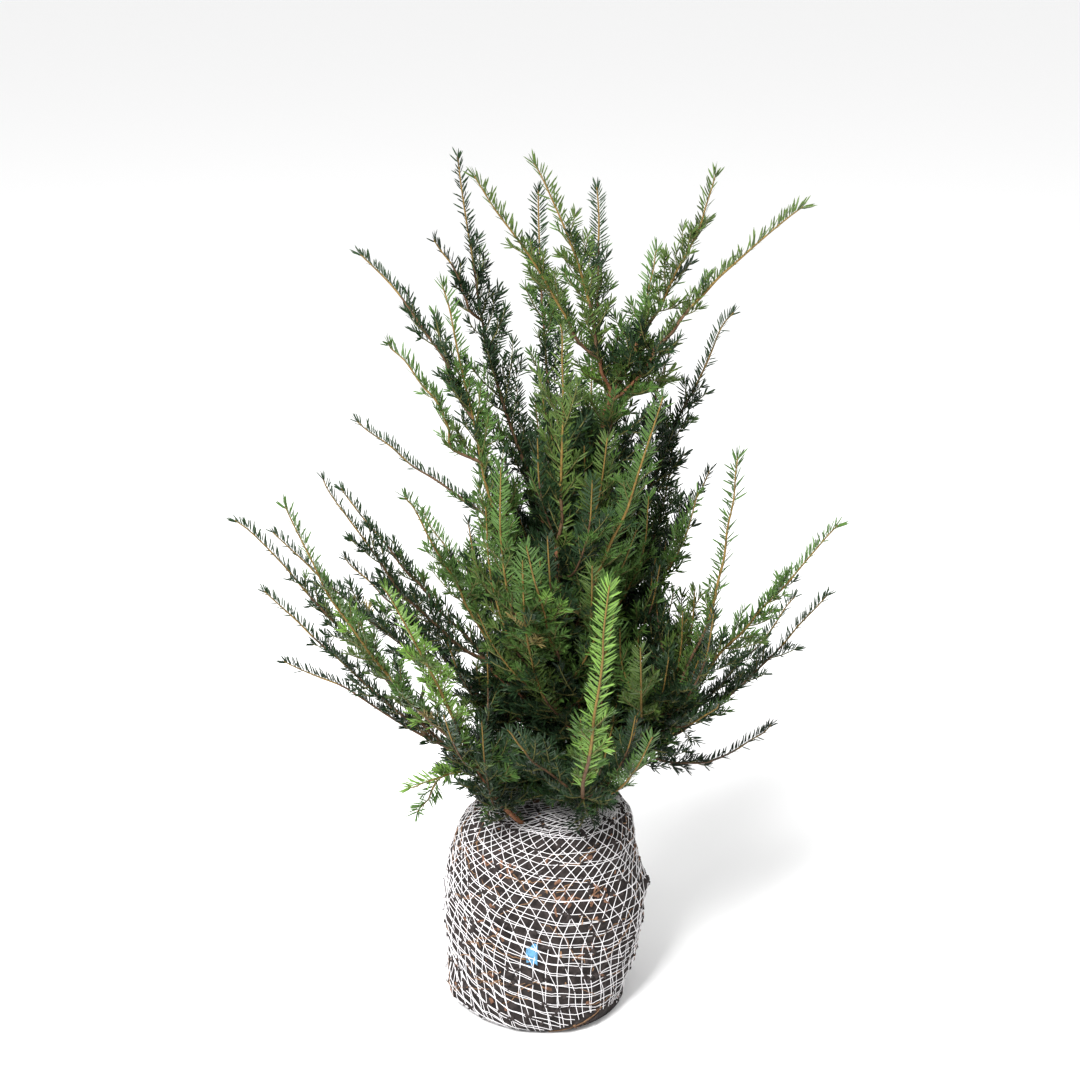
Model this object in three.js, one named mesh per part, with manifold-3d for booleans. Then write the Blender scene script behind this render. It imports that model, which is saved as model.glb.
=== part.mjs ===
// A young yew, lifted from the nursery with its netted root ball.
// One reddish trunk stands on the ball, forks near its top, and carries long rising boughs whose
// foliage ends in separate plumes. Millimetres, +Z up. The origin is the middle of the ball's flat
// underside; 0 degrees points along +X, 90 degrees along +Y (the back) and 270 degrees to the front.
import * as THREE from 'three';
import { mergeVertices } from 'three/addons/utils/BufferGeometryUtils.js';
import Module from 'manifold-3d';

const wasm = await Module();
wasm.setup();

// ---- Driving dimensions -------------------------------------------------------------------------
const BALL_HEIGHT = 250; // the ball's flat top, which the trunk stands on
const BALL_RADIUS = 119; // at the widest, half way up
const BALL_FOOT_RADIUS = 98; // of the flat underside
const BALL_TOP_RADIUS = 80; // of the flat top
const BALL_TOP_SHIFT = 11; // the top sits this far to +X of the underside
const BALL_LOW_BULGE = 4; // and the low side bulges this far to -X
const BALL_SIDES = 22;
const BALL_UNEVEN = 0.022; // how far the sack's side swells and sinks, as a share of its radius

const TRUNK_FLARE = 14; // radius of the root flare, where it goes under the ball's top
const TRUNK_GIRTH = 7.8; // radius just above the flare
const TRUNK_TIP_GIRTH = 5; // radius at the fork
const TRUNK_SIDES = 8;

const BOUGH_SIDES = 6;
const BOUGH_RINGS = 4;
const MASS_SIDES = 6;
const MASS_RINGS = 6;
const MASS_UNEVEN = 0.16; // how far a mass swells and sinks, as a share of its radius

const GAP = 0.4; // clear space kept between neighbouring solids

// ---- Colours ------------------------------------------------------------------------------------
const finishes = {
  soil: { color: 0x3a2c25, roughness: 0.95, metalness: 0 },
  bark: { color: 0x7a4630, roughness: 0.85, metalness: 0 },
  foliage: { color: 0x2c5a2b, roughness: 0.6, metalness: 0 },
};

// ---- Places -------------------------------------------------------------------------------------
// A point round the ball's axis: its compass direction in degrees, its distance out and its height.
function place(toward, reach, height) {
  const angle = THREE.MathUtils.degToRad(toward);
  return new THREE.Vector3(reach * Math.cos(angle), reach * Math.sin(angle), height);
}

// A rising curve from start to end. A positive bow pushes its middle outward and down, so that
// the end turns up; a negative bow makes it arch over instead.
function risingCurve(start, end, bow) {
  const chord = end.clone().sub(start);
  const level = new THREE.Vector3(chord.x, chord.y, 0);
  const sag = new THREE.Vector3(0, 0, -1);
  if (level.length() > 1) sag.addScaledVector(level.normalize(), chord.z / Math.max(chord.length(), 1));
  sag.addScaledVector(chord, -sag.dot(chord) / chord.lengthSq()).normalize();
  const middle = start.clone().add(end).multiplyScalar(0.5).addScaledVector(sag, 2 * bow);
  return new THREE.QuadraticBezierCurve3(start, middle, end);
}

// ---- Solids -------------------------------------------------------------------------------------
// Turns a closed three.js geometry into a solid that can be cut.
function solidOf(geometry) {
  const bare = geometry.clone();
  bare.deleteAttribute('normal');
  bare.deleteAttribute('uv');
  const merged = mergeVertices(bare, 1e-4);
  return new wasm.Manifold(
    new wasm.Mesh({
      numProp: 3,
      vertProperties: merged.attributes.position.array,
      triVerts: new Uint32Array(merged.index.array),
    }),
  );
}

// Turns a solid back into a three.js geometry.
function geometryOf(solid) {
  const mesh = solid.getMesh();
  const geometry = new THREE.BufferGeometry();
  geometry.setAttribute('position', new THREE.BufferAttribute(new Float32Array(mesh.vertProperties), 3));
  geometry.setIndex(new THREE.BufferAttribute(new Uint32Array(mesh.triVerts), 1));
  geometry.computeVertexNormals();
  return geometry;
}

// The largest single body of a solid, once its neighbours have been cut away.
function cutAway(solid, neighbours) {
  let left = solid;
  for (const neighbour of neighbours) left = left.subtract(neighbour);
  const bodies = left.decompose().sort((a, b) => b.volume() - a.volume());
  return bodies[0];
}

// A round spindle on a curve. radiusAt(share, angle) is its radius at a share of the curve's
// length and an angle round it; its two ends are closed on the curve.
function spindle(curve, sides, rings, radiusAt) {
  const profile = [new THREE.Vector2(0, 0)];
  for (let i = 0; i <= rings; i++) profile.push(new THREE.Vector2(1, i / rings));
  profile.push(new THREE.Vector2(0, 1));
  const geometry = new THREE.LatheGeometry(profile, sides);
  const frames = curve.computeFrenetFrames(rings, false);
  const spots = curve.getSpacedPoints(rings);
  const position = geometry.attributes.position;
  for (let i = 0; i < position.count; i++) {
    const ring = Math.round(position.getY(i) * rings);
    const across = Math.hypot(position.getX(i), position.getZ(i));
    const angle = Math.atan2(position.getX(i), position.getZ(i));
    const radius = across < 0.5 ? 0 : radiusAt(ring / rings, angle);
    const spot = spots[ring]
      .clone()
      .addScaledVector(frames.normals[ring], radius * Math.cos(angle))
      .addScaledVector(frames.binormals[ring], radius * Math.sin(angle));
    position.setXYZ(i, spot.x, spot.y, spot.z);
  }
  return solidOf(geometry);
}

// ---- Root ball ----------------------------------------------------------------------------------
// A sack of soil: a rounded foot, a nearly upright side and a soft shoulder below the flat top.
function rootBall() {
  const outline = [
    [0, 0],
    [BALL_FOOT_RADIUS, 0],
    [BALL_FOOT_RADIUS + 12, 10],
    [BALL_RADIUS - 2, 38],
    [BALL_RADIUS, 90],
    [BALL_RADIUS, 140],
    [BALL_RADIUS - 5, 185],
    [BALL_RADIUS - 14, 222],
    [BALL_TOP_RADIUS + 12, 241],
    [BALL_TOP_RADIUS, BALL_HEIGHT],
    [0, BALL_HEIGHT],
  ].map(([radius, height]) => new THREE.Vector2(radius, height));
  const geometry = new THREE.LatheGeometry(outline, BALL_SIDES);
  geometry.rotateX(Math.PI / 2);
  const position = geometry.attributes.position;
  for (let i = 0; i < position.count; i++) {
    const angle = Math.atan2(position.getY(i), position.getX(i));
    const rise = position.getZ(i) / BALL_HEIGHT;
    const swell = 1 + BALL_UNEVEN * Math.sin(Math.PI * rise) * Math.sin(3 * angle + 4 * rise);
    const shift = BALL_TOP_SHIFT * rise ** 2 - 4 * BALL_LOW_BULGE * rise * (1 - rise);
    position.setXY(i, position.getX(i) * swell + shift, position.getY(i) * swell);
  }
  return solidOf(geometry);
}

// ---- Trunk --------------------------------------------------------------------------------------
// The trunk winds a little: out to one side above the flare, back in, and out again to the fork.
// It starts under the ball's top, where its foot is cut off flat.
const trunkCurve = new THREE.CatmullRomCurve3([
  new THREE.Vector3(63, 0, BALL_HEIGHT - 10),
  new THREE.Vector3(71, 0, 340),
  new THREE.Vector3(56, 0, 457),
  new THREE.Vector3(40, 0, 553),
  new THREE.Vector3(52, 0, 625),
  new THREE.Vector3(76, 0, 746),
]);
const TRUNK_RINGS = 16;
const FLARE_SHARE = 0.13; // of the trunk's length

// The trunk, a little thicker all over by the extra that a cutter needs.
function trunk(extra) {
  const whole = spindle(trunkCurve, TRUNK_SIDES, TRUNK_RINGS, (share) => {
    const flare = Math.max(0, 1 - share / FLARE_SHARE) ** 2 * (TRUNK_FLARE - TRUNK_GIRTH);
    return THREE.MathUtils.lerp(TRUNK_GIRTH, TRUNK_TIP_GIRTH, share) + flare + extra;
  });
  return whole.trimByPlane([0, 0, 1], BALL_HEIGHT + GAP - extra);
}

// The trunk's centre at a height, found by halving.
function trunkAt(height) {
  let low = 0;
  let high = 1;
  for (let i = 0; i < 24; i++) {
    const middle = (low + high) / 2;
    if (trunkCurve.getPoint(middle).z < height) low = middle;
    else high = middle;
  }
  return trunkCurve.getPoint(low);
}

// ---- Boughs -------------------------------------------------------------------------------------
// foot is the height on the trunk that a bough leaves from, or a place of its own on the ball.
// toward, reach and height say where its bare part ends; girth is its radius at foot and end.
const boughs = [
  {
    name: 'front_left', foot: place(246, 55, BALL_HEIGHT + GAP),
    toward: 227, reach: 115, height: 352, bow: 8, girth: [5.5, 4],
  },
  { name: 'left_low', foot: 292, toward: 178, reach: 105, height: 304, bow: 0, girth: [5, 3.5] },
  { name: 'left_back', foot: 325, toward: 152, reach: 95, height: 372, bow: 10, girth: [4.5, 3] },
  { name: 'left_mid', foot: 350, toward: 183, reach: 65, height: 425, bow: 12, girth: [4.5, 3] },
  { name: 'leader_left', foot: 300, toward: 250, reach: 60, height: 505, bow: 14, girth: [6.5, 4.5] },
  { name: 'leader_back', foot: 400, toward: 95, reach: 50, height: 610, bow: 10, girth: [5, 3.5] },
  { name: 'leader_middle', foot: 315, toward: 290, reach: 52, height: 590, bow: 22, girth: [5, 3.5] },
  { name: 'fork_left', foot: 744, toward: 349, reach: 61, height: 790, bow: 0, girth: [4.5, 4] },
  { name: 'fork_right', foot: 744, toward: 354, reach: 105, height: 806, bow: 0, girth: [4.8, 4] },
  { name: 'fork_right_low', foot: 738, toward: 348, reach: 124, height: 803, bow: 4, girth: [4, 3.4] },
  { name: 'right_front', foot: 345, toward: 332, reach: 170, height: 440, bow: 16, girth: [5, 3.5] },
  { name: 'right_mid', foot: 328, toward: 349, reach: 135, height: 372, bow: 6, girth: [5, 3.5] },
  { name: 'right_low', foot: 300, toward: 4, reach: 135, height: 322, bow: 4, girth: [4.5, 3] },
  { name: 'right_back', foot: 420, toward: 30, reach: 122, height: 520, bow: 10, girth: [4.5, 3] },
  { name: 'front', foot: 292, toward: 287, reach: 140, height: 326, bow: 10, girth: [5, 3.5] },
  { name: 'back', foot: 340, toward: 88, reach: 95, height: 450, bow: 12, girth: [5, 3.5] },
];

// ---- Foliage ------------------------------------------------------------------------------------
// on and at say which limb a mass grows from and how far along it; toward, reach and height place
// its tip; girth is its greatest radius and tip its radius near the end.
const masses = [
  // Tall leaders above the fork and beside it.
  {
    name: 'fork_middle', on: 'fork_left', at: 1,
    toward: 249, reach: 43, height: 1011, bow: -12, girth: 27, tip: 10,
  },
  {
    name: 'fork_left', on: 'fork_left', at: 1,
    toward: 213, reach: 92, height: 999, bow: -2, girth: 24, tip: 9,
  },
  {
    name: 'fork_right', on: 'fork_right', at: 1,
    toward: 351, reach: 186, height: 999, bow: 3, girth: 25, tip: 10,
  },
  {
    name: 'fork_right_low', on: 'fork_right_low', at: 1,
    toward: 350, reach: 281, height: 966, bow: -8, girth: 22, tip: 9,
  },
  {
    name: 'fork_back', on: 'fork_left', at: 0.9,
    toward: 53, reach: 100, height: 968, bow: 8, girth: 20, tip: 8,
  },
  {
    name: 'fork_back_right', on: 'fork_right', at: 0.6,
    toward: 25, reach: 141, height: 902, bow: 4, girth: 22, tip: 9,
  },
  {
    name: 'leader_left', on: 'leader_left', at: 1,
    toward: 210, reach: 120, height: 892, bow: 4, girth: 41, tip: 10,
  },
  {
    name: 'leader_left_outer', on: 'leader_left', at: 1.45,
    toward: 189, reach: 202, height: 913, bow: -24, girth: 26, tip: 9,
  },
  {
    name: 'leader_left_side', on: 'leader_left', at: 1.3,
    toward: 200, reach: 180, height: 825, bow: -13, girth: 22, tip: 8,
  },
  {
    name: 'leader_back', on: 'leader_back', at: 1,
    toward: 139, reach: 121, height: 1001, bow: 16, girth: 37, tip: 8,
  },
  {
    name: 'leader_back_side', on: 'leader_back', at: 1.4,
    toward: 158, reach: 134, height: 913, bow: -9, girth: 20, tip: 9,
  },
  {
    name: 'back_middle', on: 'leader_back', at: 0.85,
    toward: 91, reach: 120, height: 959, bow: 6, girth: 34, tip: 9,
  },
  {
    name: 'leader_middle', on: 'leader_middle', at: 1,
    toward: 315, reach: 36, height: 885, bow: -4, girth: 38, tip: 10,
  },
  // Left side.
  {
    name: 'front_left_long', on: 'front_left', at: 1,
    toward: 208, reach: 303, height: 676, bow: 22, girth: 29, tip: 12,
  },
  {
    name: 'front_left_short', on: 'front_left', at: 0.85,
    toward: 231, reach: 257, height: 604, bow: 2, girth: 30, tip: 11,
  },
  {
    name: 'left_low_tall', on: 'left_low', at: 1,
    toward: 183, reach: 345, height: 615, bow: -5, girth: 26, tip: 9,
  },
  {
    name: 'left_low_middle', on: 'left_low', at: 0.95,
    toward: 173, reach: 328, height: 508, bow: 5, girth: 20, tip: 8,
  },
  {
    name: 'left_low_under', on: 'left_low', at: 0.9,
    toward: 169, reach: 317, height: 408, bow: -4, girth: 19, tip: 8,
  },
  {
    name: 'left_back_outer', on: 'left_back', at: 1,
    toward: 166, reach: 327, height: 566, bow: 10, girth: 25, tip: 9,
  },
  {
    name: 'left_back_inner', on: 'left_back', at: 0.9,
    toward: 157, reach: 259, height: 526, bow: 0, girth: 32, tip: 9,
  },
  {
    name: 'left_mid_front', on: 'left_mid', at: 1,
    toward: 189, reach: 244, height: 671, bow: 14, girth: 30, tip: 9,
  },
  {
    name: 'left_mid_back', on: 'left_mid', at: 0.9,
    toward: 170, reach: 236, height: 633, bow: 3, girth: 24, tip: 9,
  },
  {
    name: 'left_inner', on: 'left_mid', at: 0.7,
    toward: 208, reach: 168, height: 662, bow: 2, girth: 37, tip: 10,
  },
  {
    name: 'left_high', on: 'leader_back', at: 0.7,
    toward: 152, reach: 252, height: 685, bow: 2, girth: 20, tip: 8,
  },
  {
    name: 'low_left_spray', on: 'left_low', at: 0.6,
    toward: 207, reach: 177, height: 305, bow: -6, girth: 15, tip: 9,
  },
  {
    name: 'low_left_droop', on: 'left_low', at: 0.95,
    toward: 188, reach: 150, height: 226, bow: -10, girth: 13, tip: 8,
  },
  // Right side.
  {
    name: 'right_front', on: 'right_front', at: 1,
    toward: 334, reach: 226, height: 716, bow: 14, girth: 26, tip: 11,
  },
  {
    name: 'front_right_high', on: 'leader_middle', at: 0.55,
    toward: 317, reach: 176, height: 786, bow: 4, girth: 35, tip: 10,
  },
  {
    name: 'right_mid_long', on: 'right_mid', at: 1,
    toward: 351, reach: 330, height: 622, bow: 4, girth: 30, tip: 12,
  },
  {
    name: 'right_front_low', on: 'right_mid', at: 0.5,
    toward: 330, reach: 225, height: 430, bow: 10, girth: 38, tip: 12,
  },
  {
    name: 'right_low_long', on: 'right_low', at: 1,
    toward: 3, reach: 329, height: 513, bow: 12, girth: 28, tip: 9,
  },
  {
    name: 'right_low_back', on: 'right_low', at: 0.9,
    toward: 15, reach: 309, height: 487, bow: 12, girth: 28, tip: 9,
  },
  {
    name: 'right_droop', on: 'right_low', at: 0.75,
    toward: 14, reach: 285, height: 326, bow: 30, girth: 20, tip: 8,
  },
  {
    name: 'right_back_high', on: 'right_back', at: 1,
    toward: 24, reach: 242, height: 821, bow: -18, girth: 33, tip: 8,
  },
  {
    name: 'right_inner', on: 'right_back', at: 0.5,
    toward: 10, reach: 150, height: 800, bow: -14, girth: 43, tip: 11,
  },
  {
    name: 'right_back_mid', on: 'right_back', at: 0.95,
    toward: 22, reach: 213, height: 640, bow: 7, girth: 33, tip: 9,
  },
  // Front and back.
  {
    name: 'front_centre', on: 'front', at: 1,
    toward: 285, reach: 249, height: 627, bow: 18, girth: 31, tip: 14,
  },
  {
    name: 'front_low', on: 'front', at: 0.75,
    toward: 256, reach: 172, height: 430, bow: 8, girth: 42, tip: 13,
  },
  {
    name: 'front_inner', on: 'leader_middle', at: 0.45,
    toward: 264, reach: 162, height: 634, bow: 10, girth: 32, tip: 12,
  },
  { name: 'back_mid', on: 'back', at: 1, toward: 82, reach: 262, height: 700, bow: 14, girth: 46, tip: 12 },
  {
    name: 'back_low_left', on: 'back', at: 0.75,
    toward: 122, reach: 292, height: 530, bow: 14, girth: 42, tip: 12,
  },
  {
    name: 'back_low_right', on: 'back', at: 0.6,
    toward: 57, reach: 295, height: 505, bow: 14, girth: 42, tip: 12,
  },
];

// How full a mass is along its length: blunt where it starts, fullest before its middle, and thin
// before its tip.
function fullness(share, mass) {
  const swell = Math.sin(Math.PI * Math.min(1, 0.22 + 0.62 * share ** 0.8));
  const thinning = THREE.MathUtils.smoothstep(share, 0.35, 0.95);
  const body = THREE.MathUtils.lerp(mass.girth * swell, mass.tip, thinning);
  return share > 0.999 ? 0.35 * mass.tip : body;
}

function massSolid(curve, mass, seed, extra) {
  return spindle(curve, MASS_SIDES, MASS_RINGS, (share, angle) => {
    const lump = Math.sin(2 * angle + 1.7 * seed + 5 * share) * Math.cos(9 * share + seed);
    return fullness(share, mass) * (1 + MASS_UNEVEN * lump) + extra;
  });
}

// ---- Assembly -----------------------------------------------------------------------------------
const sapling = new THREE.Group();
const cutters = []; // every solid made so far, each a little larger than it is shown

function add(name, solid, finish) {
  const mesh = new THREE.Mesh(geometryOf(solid), new THREE.MeshStandardMaterial(finishes[finish]));
  mesh.name = name;
  sapling.add(mesh);
}

const ball = rootBall();
add('root_ball', ball, 'soil');
cutters.push(ball);

add('trunk', trunk(0), 'bark');
cutters.push(trunk(GAP));

const limbCurves = {};
for (const bough of boughs) {
  const foot = typeof bough.foot === 'number' ? trunkAt(bough.foot) : bough.foot;
  const curve = risingCurve(foot, place(bough.toward, bough.reach, bough.height), bough.bow);
  const girthAt = (extra) => (share) => THREE.MathUtils.lerp(...bough.girth, share) + extra;
  const limb = spindle(curve, BOUGH_SIDES, BOUGH_RINGS, girthAt(0));
  limbCurves[bough.name] = curve;
  add(`bough_${bough.name}`, cutAway(limb, cutters), 'bark');
  cutters.push(spindle(curve, BOUGH_SIDES, BOUGH_RINGS, girthAt(GAP)));
}

// A mass that starts beyond its bough's end starts inside the bough's own mass.
const massCurves = {};
masses.forEach((mass, i) => {
  const start =
    mass.at <= 1
      ? limbCurves[mass.on].getPoint(mass.at)
      : massCurves[mass.on].getPoint(mass.at - 1);
  const curve = risingCurve(start, place(mass.toward, mass.reach, mass.height), mass.bow);
  massCurves[mass.name] = curve;
  add(`foliage_${mass.name}`, cutAway(massSolid(curve, mass, i, 0), cutters), 'foliage');
  cutters.push(massSolid(curve, mass, i, GAP));
});

export default sapling;
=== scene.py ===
"""A young yew with a netted root ball: bark, shoots, needles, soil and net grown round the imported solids."""

import math

import bpy
import numpy as np
from bpy.props import FloatProperty, FloatVectorProperty, IntProperty, PointerProperty
from bpy.types import Operator, Panel, PropertyGroup
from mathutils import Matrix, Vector, noise
from mathutils.bvhtree import BVHTree


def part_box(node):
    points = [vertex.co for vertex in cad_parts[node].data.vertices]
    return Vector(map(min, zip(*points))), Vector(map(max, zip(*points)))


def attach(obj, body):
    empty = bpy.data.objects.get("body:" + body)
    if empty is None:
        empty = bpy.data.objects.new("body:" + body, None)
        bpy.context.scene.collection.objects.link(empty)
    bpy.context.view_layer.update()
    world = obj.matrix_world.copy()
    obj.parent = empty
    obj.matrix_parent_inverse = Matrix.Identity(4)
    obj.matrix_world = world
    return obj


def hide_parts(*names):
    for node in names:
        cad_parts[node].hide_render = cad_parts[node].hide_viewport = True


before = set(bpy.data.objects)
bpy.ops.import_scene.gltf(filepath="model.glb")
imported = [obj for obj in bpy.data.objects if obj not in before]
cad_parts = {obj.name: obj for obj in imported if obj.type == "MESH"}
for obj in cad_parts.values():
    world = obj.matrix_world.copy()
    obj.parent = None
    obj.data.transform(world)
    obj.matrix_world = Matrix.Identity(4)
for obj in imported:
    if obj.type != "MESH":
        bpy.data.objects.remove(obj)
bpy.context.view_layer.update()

bl_info = {
    "name": "Yew Sapling",
    "version": (1, 0, 0),
    "blender": (4, 5, 0),
    "location": "View3D > Sidebar > Yew Sapling",
    "description": "Grows a young yew with its netted root ball round a set of plain solids",
    "category": "Add Mesh",
}

BODY = "root"
BALL_NODE = "root_ball"
TRUNK_NODE = "trunk"
BOUGH_NODES = sorted(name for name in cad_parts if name.startswith("bough_"))
MASS_NODES = sorted(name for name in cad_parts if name.startswith("foliage_"))

UP = np.array([0.0, 0.0, 1.0])
BALL_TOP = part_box(BALL_NODE)[1][2]
BALL_RADIUS = 0.119
# No shoot inside the plant hangs closer to the ball than this.
BALL_CLEARANCE = 0.014
# Above the first height the trunk's inner shoots thin out, and above the second the inner shoots are lighter:
# their darker tints below and lighter tints above are painted shade and light.
OPEN_ABOVE, LIGHT_ABOVE = 0.60, 0.66
# How many low shoots spread over the ball, and how far from its middle.
SKIRT_SHOOTS, SKIRT_REACH = 170, 0.070

# The main tint of each mass's needles; a mass not named here is deep green.
MAIN_TINTS = {
    "fresh": ("front_centre", "front_left_short", "low_left_spray"),
    "mid": (
        "front_left_long", "leader_left", "leader_left_side", "front_inner", "front_right_high",
        "right_front", "right_mid_long", "left_inner", "low_left_droop", "back_mid", "back_low_left",
        "fork_back_right",
    ),
    "olive": ("fork_left", "fork_middle", "fork_right", "fork_right_low", "leader_middle", "back_low_right"),
    # Painted shade: these masses lie inside, low under or at the back of the plant, so they take the nearly
    # black tint.
    "dark": (
        "leader_back_side", "right_inner", "right_back_mid", "left_back_inner", "left_low_under",
        "right_droop",
    ),
}
# Masses that are one long shoot with few side shoots.
SLENDER = ("front_centre", "right_front", "left_high", "right_droop", "left_low_under", "fork_right_low")
TINTS = ("fresh", "mid", "olive", "deep", "dark", "tan")
# The share of each tint among the side sprays, by the main tint of the mass that they belong to. The dark
# share is the nearly black tint, painted shade.
SPRAY_SHARES = {
    "fresh": (0.48, 0.36, 0.12, 0.02, 0.00, 0.02),
    "mid": (0.09, 0.50, 0.21, 0.19, 0.00, 0.01),
    "olive": (0.02, 0.26, 0.40, 0.30, 0.00, 0.02),
    "deep": (0.00, 0.24, 0.08, 0.53, 0.14, 0.01),
    "dark": (0.00, 0.06, 0.04, 0.36, 0.54, 0.00),
}


# ---- Settings -----------------------------------------------------------------------------------


def length(name, description, default):
    """A size in metres."""
    return FloatProperty(
        name=name, description=description, default=default, min=0.0, unit="LENGTH", precision=5
    )


def colour(name, description, default):
    """A colour in linear light."""
    return FloatVectorProperty(
        name=name, description=description, default=default, subtype="COLOR", min=0.0, max=1.0
    )


class ShootSettings(PropertyGroup):
    """Sizes of the shoots and needles."""

    seed: IntProperty(name="Seed", description="Start of every random choice", default=7)
    needle_length: length("Needle length", "Length of a full needle", 0.0138)
    needle_width: length("Needle width", "Width of a needle at its widest", 0.0018)
    needle_step: length("Needle step", "Distance along a shoot from one needle to the next", 0.0017)
    side_step: length("Side shoot step", "Distance along a leading shoot between side shoots", 0.0085)
    bare_tip: length("Bare tip", "Unbranched end of a leading shoot", 0.095)
    leader_girth: length("Leader radius", "Radius of a leading shoot where it leaves its bough", 0.0021)
    side_girth: length("Side shoot radius", "Radius of a side shoot at its foot", 0.0010)
    tip_girth: length("Tip radius", "Radius of any shoot at its tip", 0.0007)
    bark_relief: length("Bark relief", "Depth of the flakes on the trunk", 0.0012)


class BallSettings(PropertyGroup):
    """Sizes of the soil and the net."""

    seed: IntProperty(name="Seed", description="Start of every random choice", default=3)
    lump: length("Lumps", "Height of the soil's lumps", 0.0035)
    clod: length("Clods", "Height of the soil's clods", 0.0016)
    yarn: length("Yarn radius", "Radius of the net's yarn", 0.00042)
    mesh: length("Mesh width", "Distance from one upright yarn to the next", 0.0148)
    ring: length("Ring height", "Distance from one level yarn to the next", 0.0130)
    gather: length("Gather radius", "Radius of the net where it is drawn in round the trunk", 0.0170)


class ColourSettings(PropertyGroup):
    """Colours of every finish."""

    fresh: colour("Fresh needles", "Light sprays at the front", (0.112, 0.205, 0.036))
    mid: colour("Green needles", "Middle green sprays", (0.050, 0.100, 0.022))
    olive: colour("Olive needles", "Yellowish green sprays", (0.053, 0.087, 0.019))
    deep: colour("Deep needles", "Dark green sprays", (0.0145, 0.0320, 0.0120))
    # The nearly black needle tint is painted shade: it goes to shoots inside the plant, low under it and at
    # its back.
    dark: colour("Dark needles", "Nearly black sprays", (0.0075, 0.0170, 0.0072))
    tan: colour("Tan needles", "Yellowed sprays", (0.165, 0.130, 0.045))
    golden: colour("Golden shoots", "Skin of the leading shoots", (0.135, 0.085, 0.023))
    young: colour("Young shoots", "Skin of this year's side shoots", (0.085, 0.082, 0.026))
    old: colour("Old shoots", "Bark of older shoots", (0.080, 0.045, 0.024))
    bark: colour("Bark", "Bark of the trunk and boughs", (0.160, 0.070, 0.036))
    soil: colour("Soil", "Damp soil", (0.0165, 0.0132, 0.0125))
    chip: colour("Bark chips", "Chips of bark in the soil", (0.120, 0.062, 0.038))
    root: colour("Roots", "Fine roots", (0.165, 0.095, 0.052))
    yarn: colour("Yarn", "The net's yarn", (0.690, 0.670, 0.680))
    scrap: colour("Scrap", "A scrap of plastic in the soil", (0.070, 0.215, 0.360))
    floor: colour("Floor", "The studio floor", (0.940, 0.940, 0.940))


class StageSettings(PropertyGroup):
    """Camera and light."""

    camera_height: length("Camera height", "Height of the lens above the floor", 1.357)
    camera_back: length("Camera distance", "Distance from the ball's middle, along the floor", 2.14)
    camera_pitch: FloatProperty(
        name="Camera pitch",
        description="How far the camera looks down",
        default=math.radians(20),
        subtype="ANGLE",
    )
    lens: FloatProperty(name="Lens", description="Focal length in millimetres", default=67.7)
    key_power: FloatProperty(
        name="Key power", description="Power of the large light", default=245.0, unit="POWER"
    )
    sky: FloatProperty(name="Sky", description="Strength of the even light from all round", default=0.95)


# ---- Mesh helpers -------------------------------------------------------------------------------


def placed(name, data):
    """A new object in the scene that holds this mesh, lamp or camera."""
    thing = bpy.data.objects.new(name, data)
    bpy.context.scene.collection.objects.link(thing)
    return thing


def mesh_piece(name, vertices, faces, smooth=True):
    """A new object holding a mesh with these vertices and faces, all faces with the same count of corners."""
    vertices = np.asarray(vertices, np.float32)
    faces = np.asarray(faces, np.int32)
    corners = faces.shape[1]
    mesh = bpy.data.meshes.new(name)
    mesh.vertices.add(len(vertices))
    mesh.vertices.foreach_set("co", vertices.ravel())
    mesh.loops.add(faces.size)
    mesh.loops.foreach_set("vertex_index", faces.ravel())
    mesh.polygons.add(len(faces))
    mesh.polygons.foreach_set("loop_start", np.arange(0, faces.size, corners, dtype=np.int32))
    mesh.update(calc_edges=True)
    mesh.polygons.foreach_set("use_smooth", np.full(len(faces), smooth))
    return placed(name, mesh)


def line_piece(name, lines, girths):
    """An object of open lines, each a row of points, with the radius to sweep along them as an attribute."""
    points = np.concatenate(lines).astype(np.float32)
    inner = np.ones(len(points), bool)
    inner[np.cumsum([len(line) for line in lines]) - 1] = False
    first = np.flatnonzero(inner)
    edges = np.column_stack([first, first + 1]).astype(np.int32)
    mesh = bpy.data.meshes.new(name)
    mesh.vertices.add(len(points))
    mesh.vertices.foreach_set("co", points.ravel())
    mesh.edges.add(len(edges))
    mesh.edges.foreach_set("vertices", edges.ravel())
    girth = mesh.attributes.new("girth", "FLOAT", "POINT")
    girth.data.foreach_set("value", np.concatenate(girths).astype(np.float32))
    mesh.update()
    return placed(name, mesh)


def node_points(name):
    """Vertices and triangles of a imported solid."""
    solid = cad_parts[name]
    mesh = solid.data
    mesh.calc_loop_triangles()
    points = np.empty(len(mesh.vertices) * 3)
    mesh.vertices.foreach_get("co", points)
    triangles = np.empty(len(mesh.loop_triangles) * 3, np.int64)
    mesh.loop_triangles.foreach_get("vertices", triangles)
    matrix = np.array(solid.matrix_world)
    return points.reshape(-1, 3) @ matrix[:3, :3].T + matrix[:3, 3], triangles.reshape(-1, 3)


def surface_tree(points, triangles):
    """A search tree of a surface, for casting rays at it."""
    return BVHTree.FromPolygons([Vector(p) for p in points], [tuple(t) for t in triangles])


def unit(vectors):
    """Each vector at length one."""
    return vectors / np.maximum(np.linalg.norm(vectors, axis=-1, keepdims=True), 1e-9)


def on_ring(turn, radius, height):
    """Points in these directions round the upright axis, this far out and this high."""
    return np.column_stack(np.broadcast_arrays(radius * np.cos(turn), radius * np.sin(turn), height))


def degrees_off(turn, aim):
    """How far directions lie from this one, in degrees from -180 to 180."""
    return (turn - aim + 180) % 360 - 180


def bowed(start, knee, tip, count):
    """A path of so many points from start to tip, drawn towards a knee."""
    t = np.linspace(0, 1, count)[:, None]
    return (1 - t) ** 2 * start + 2 * t * (1 - t) * knee + t**2 * tip


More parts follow.
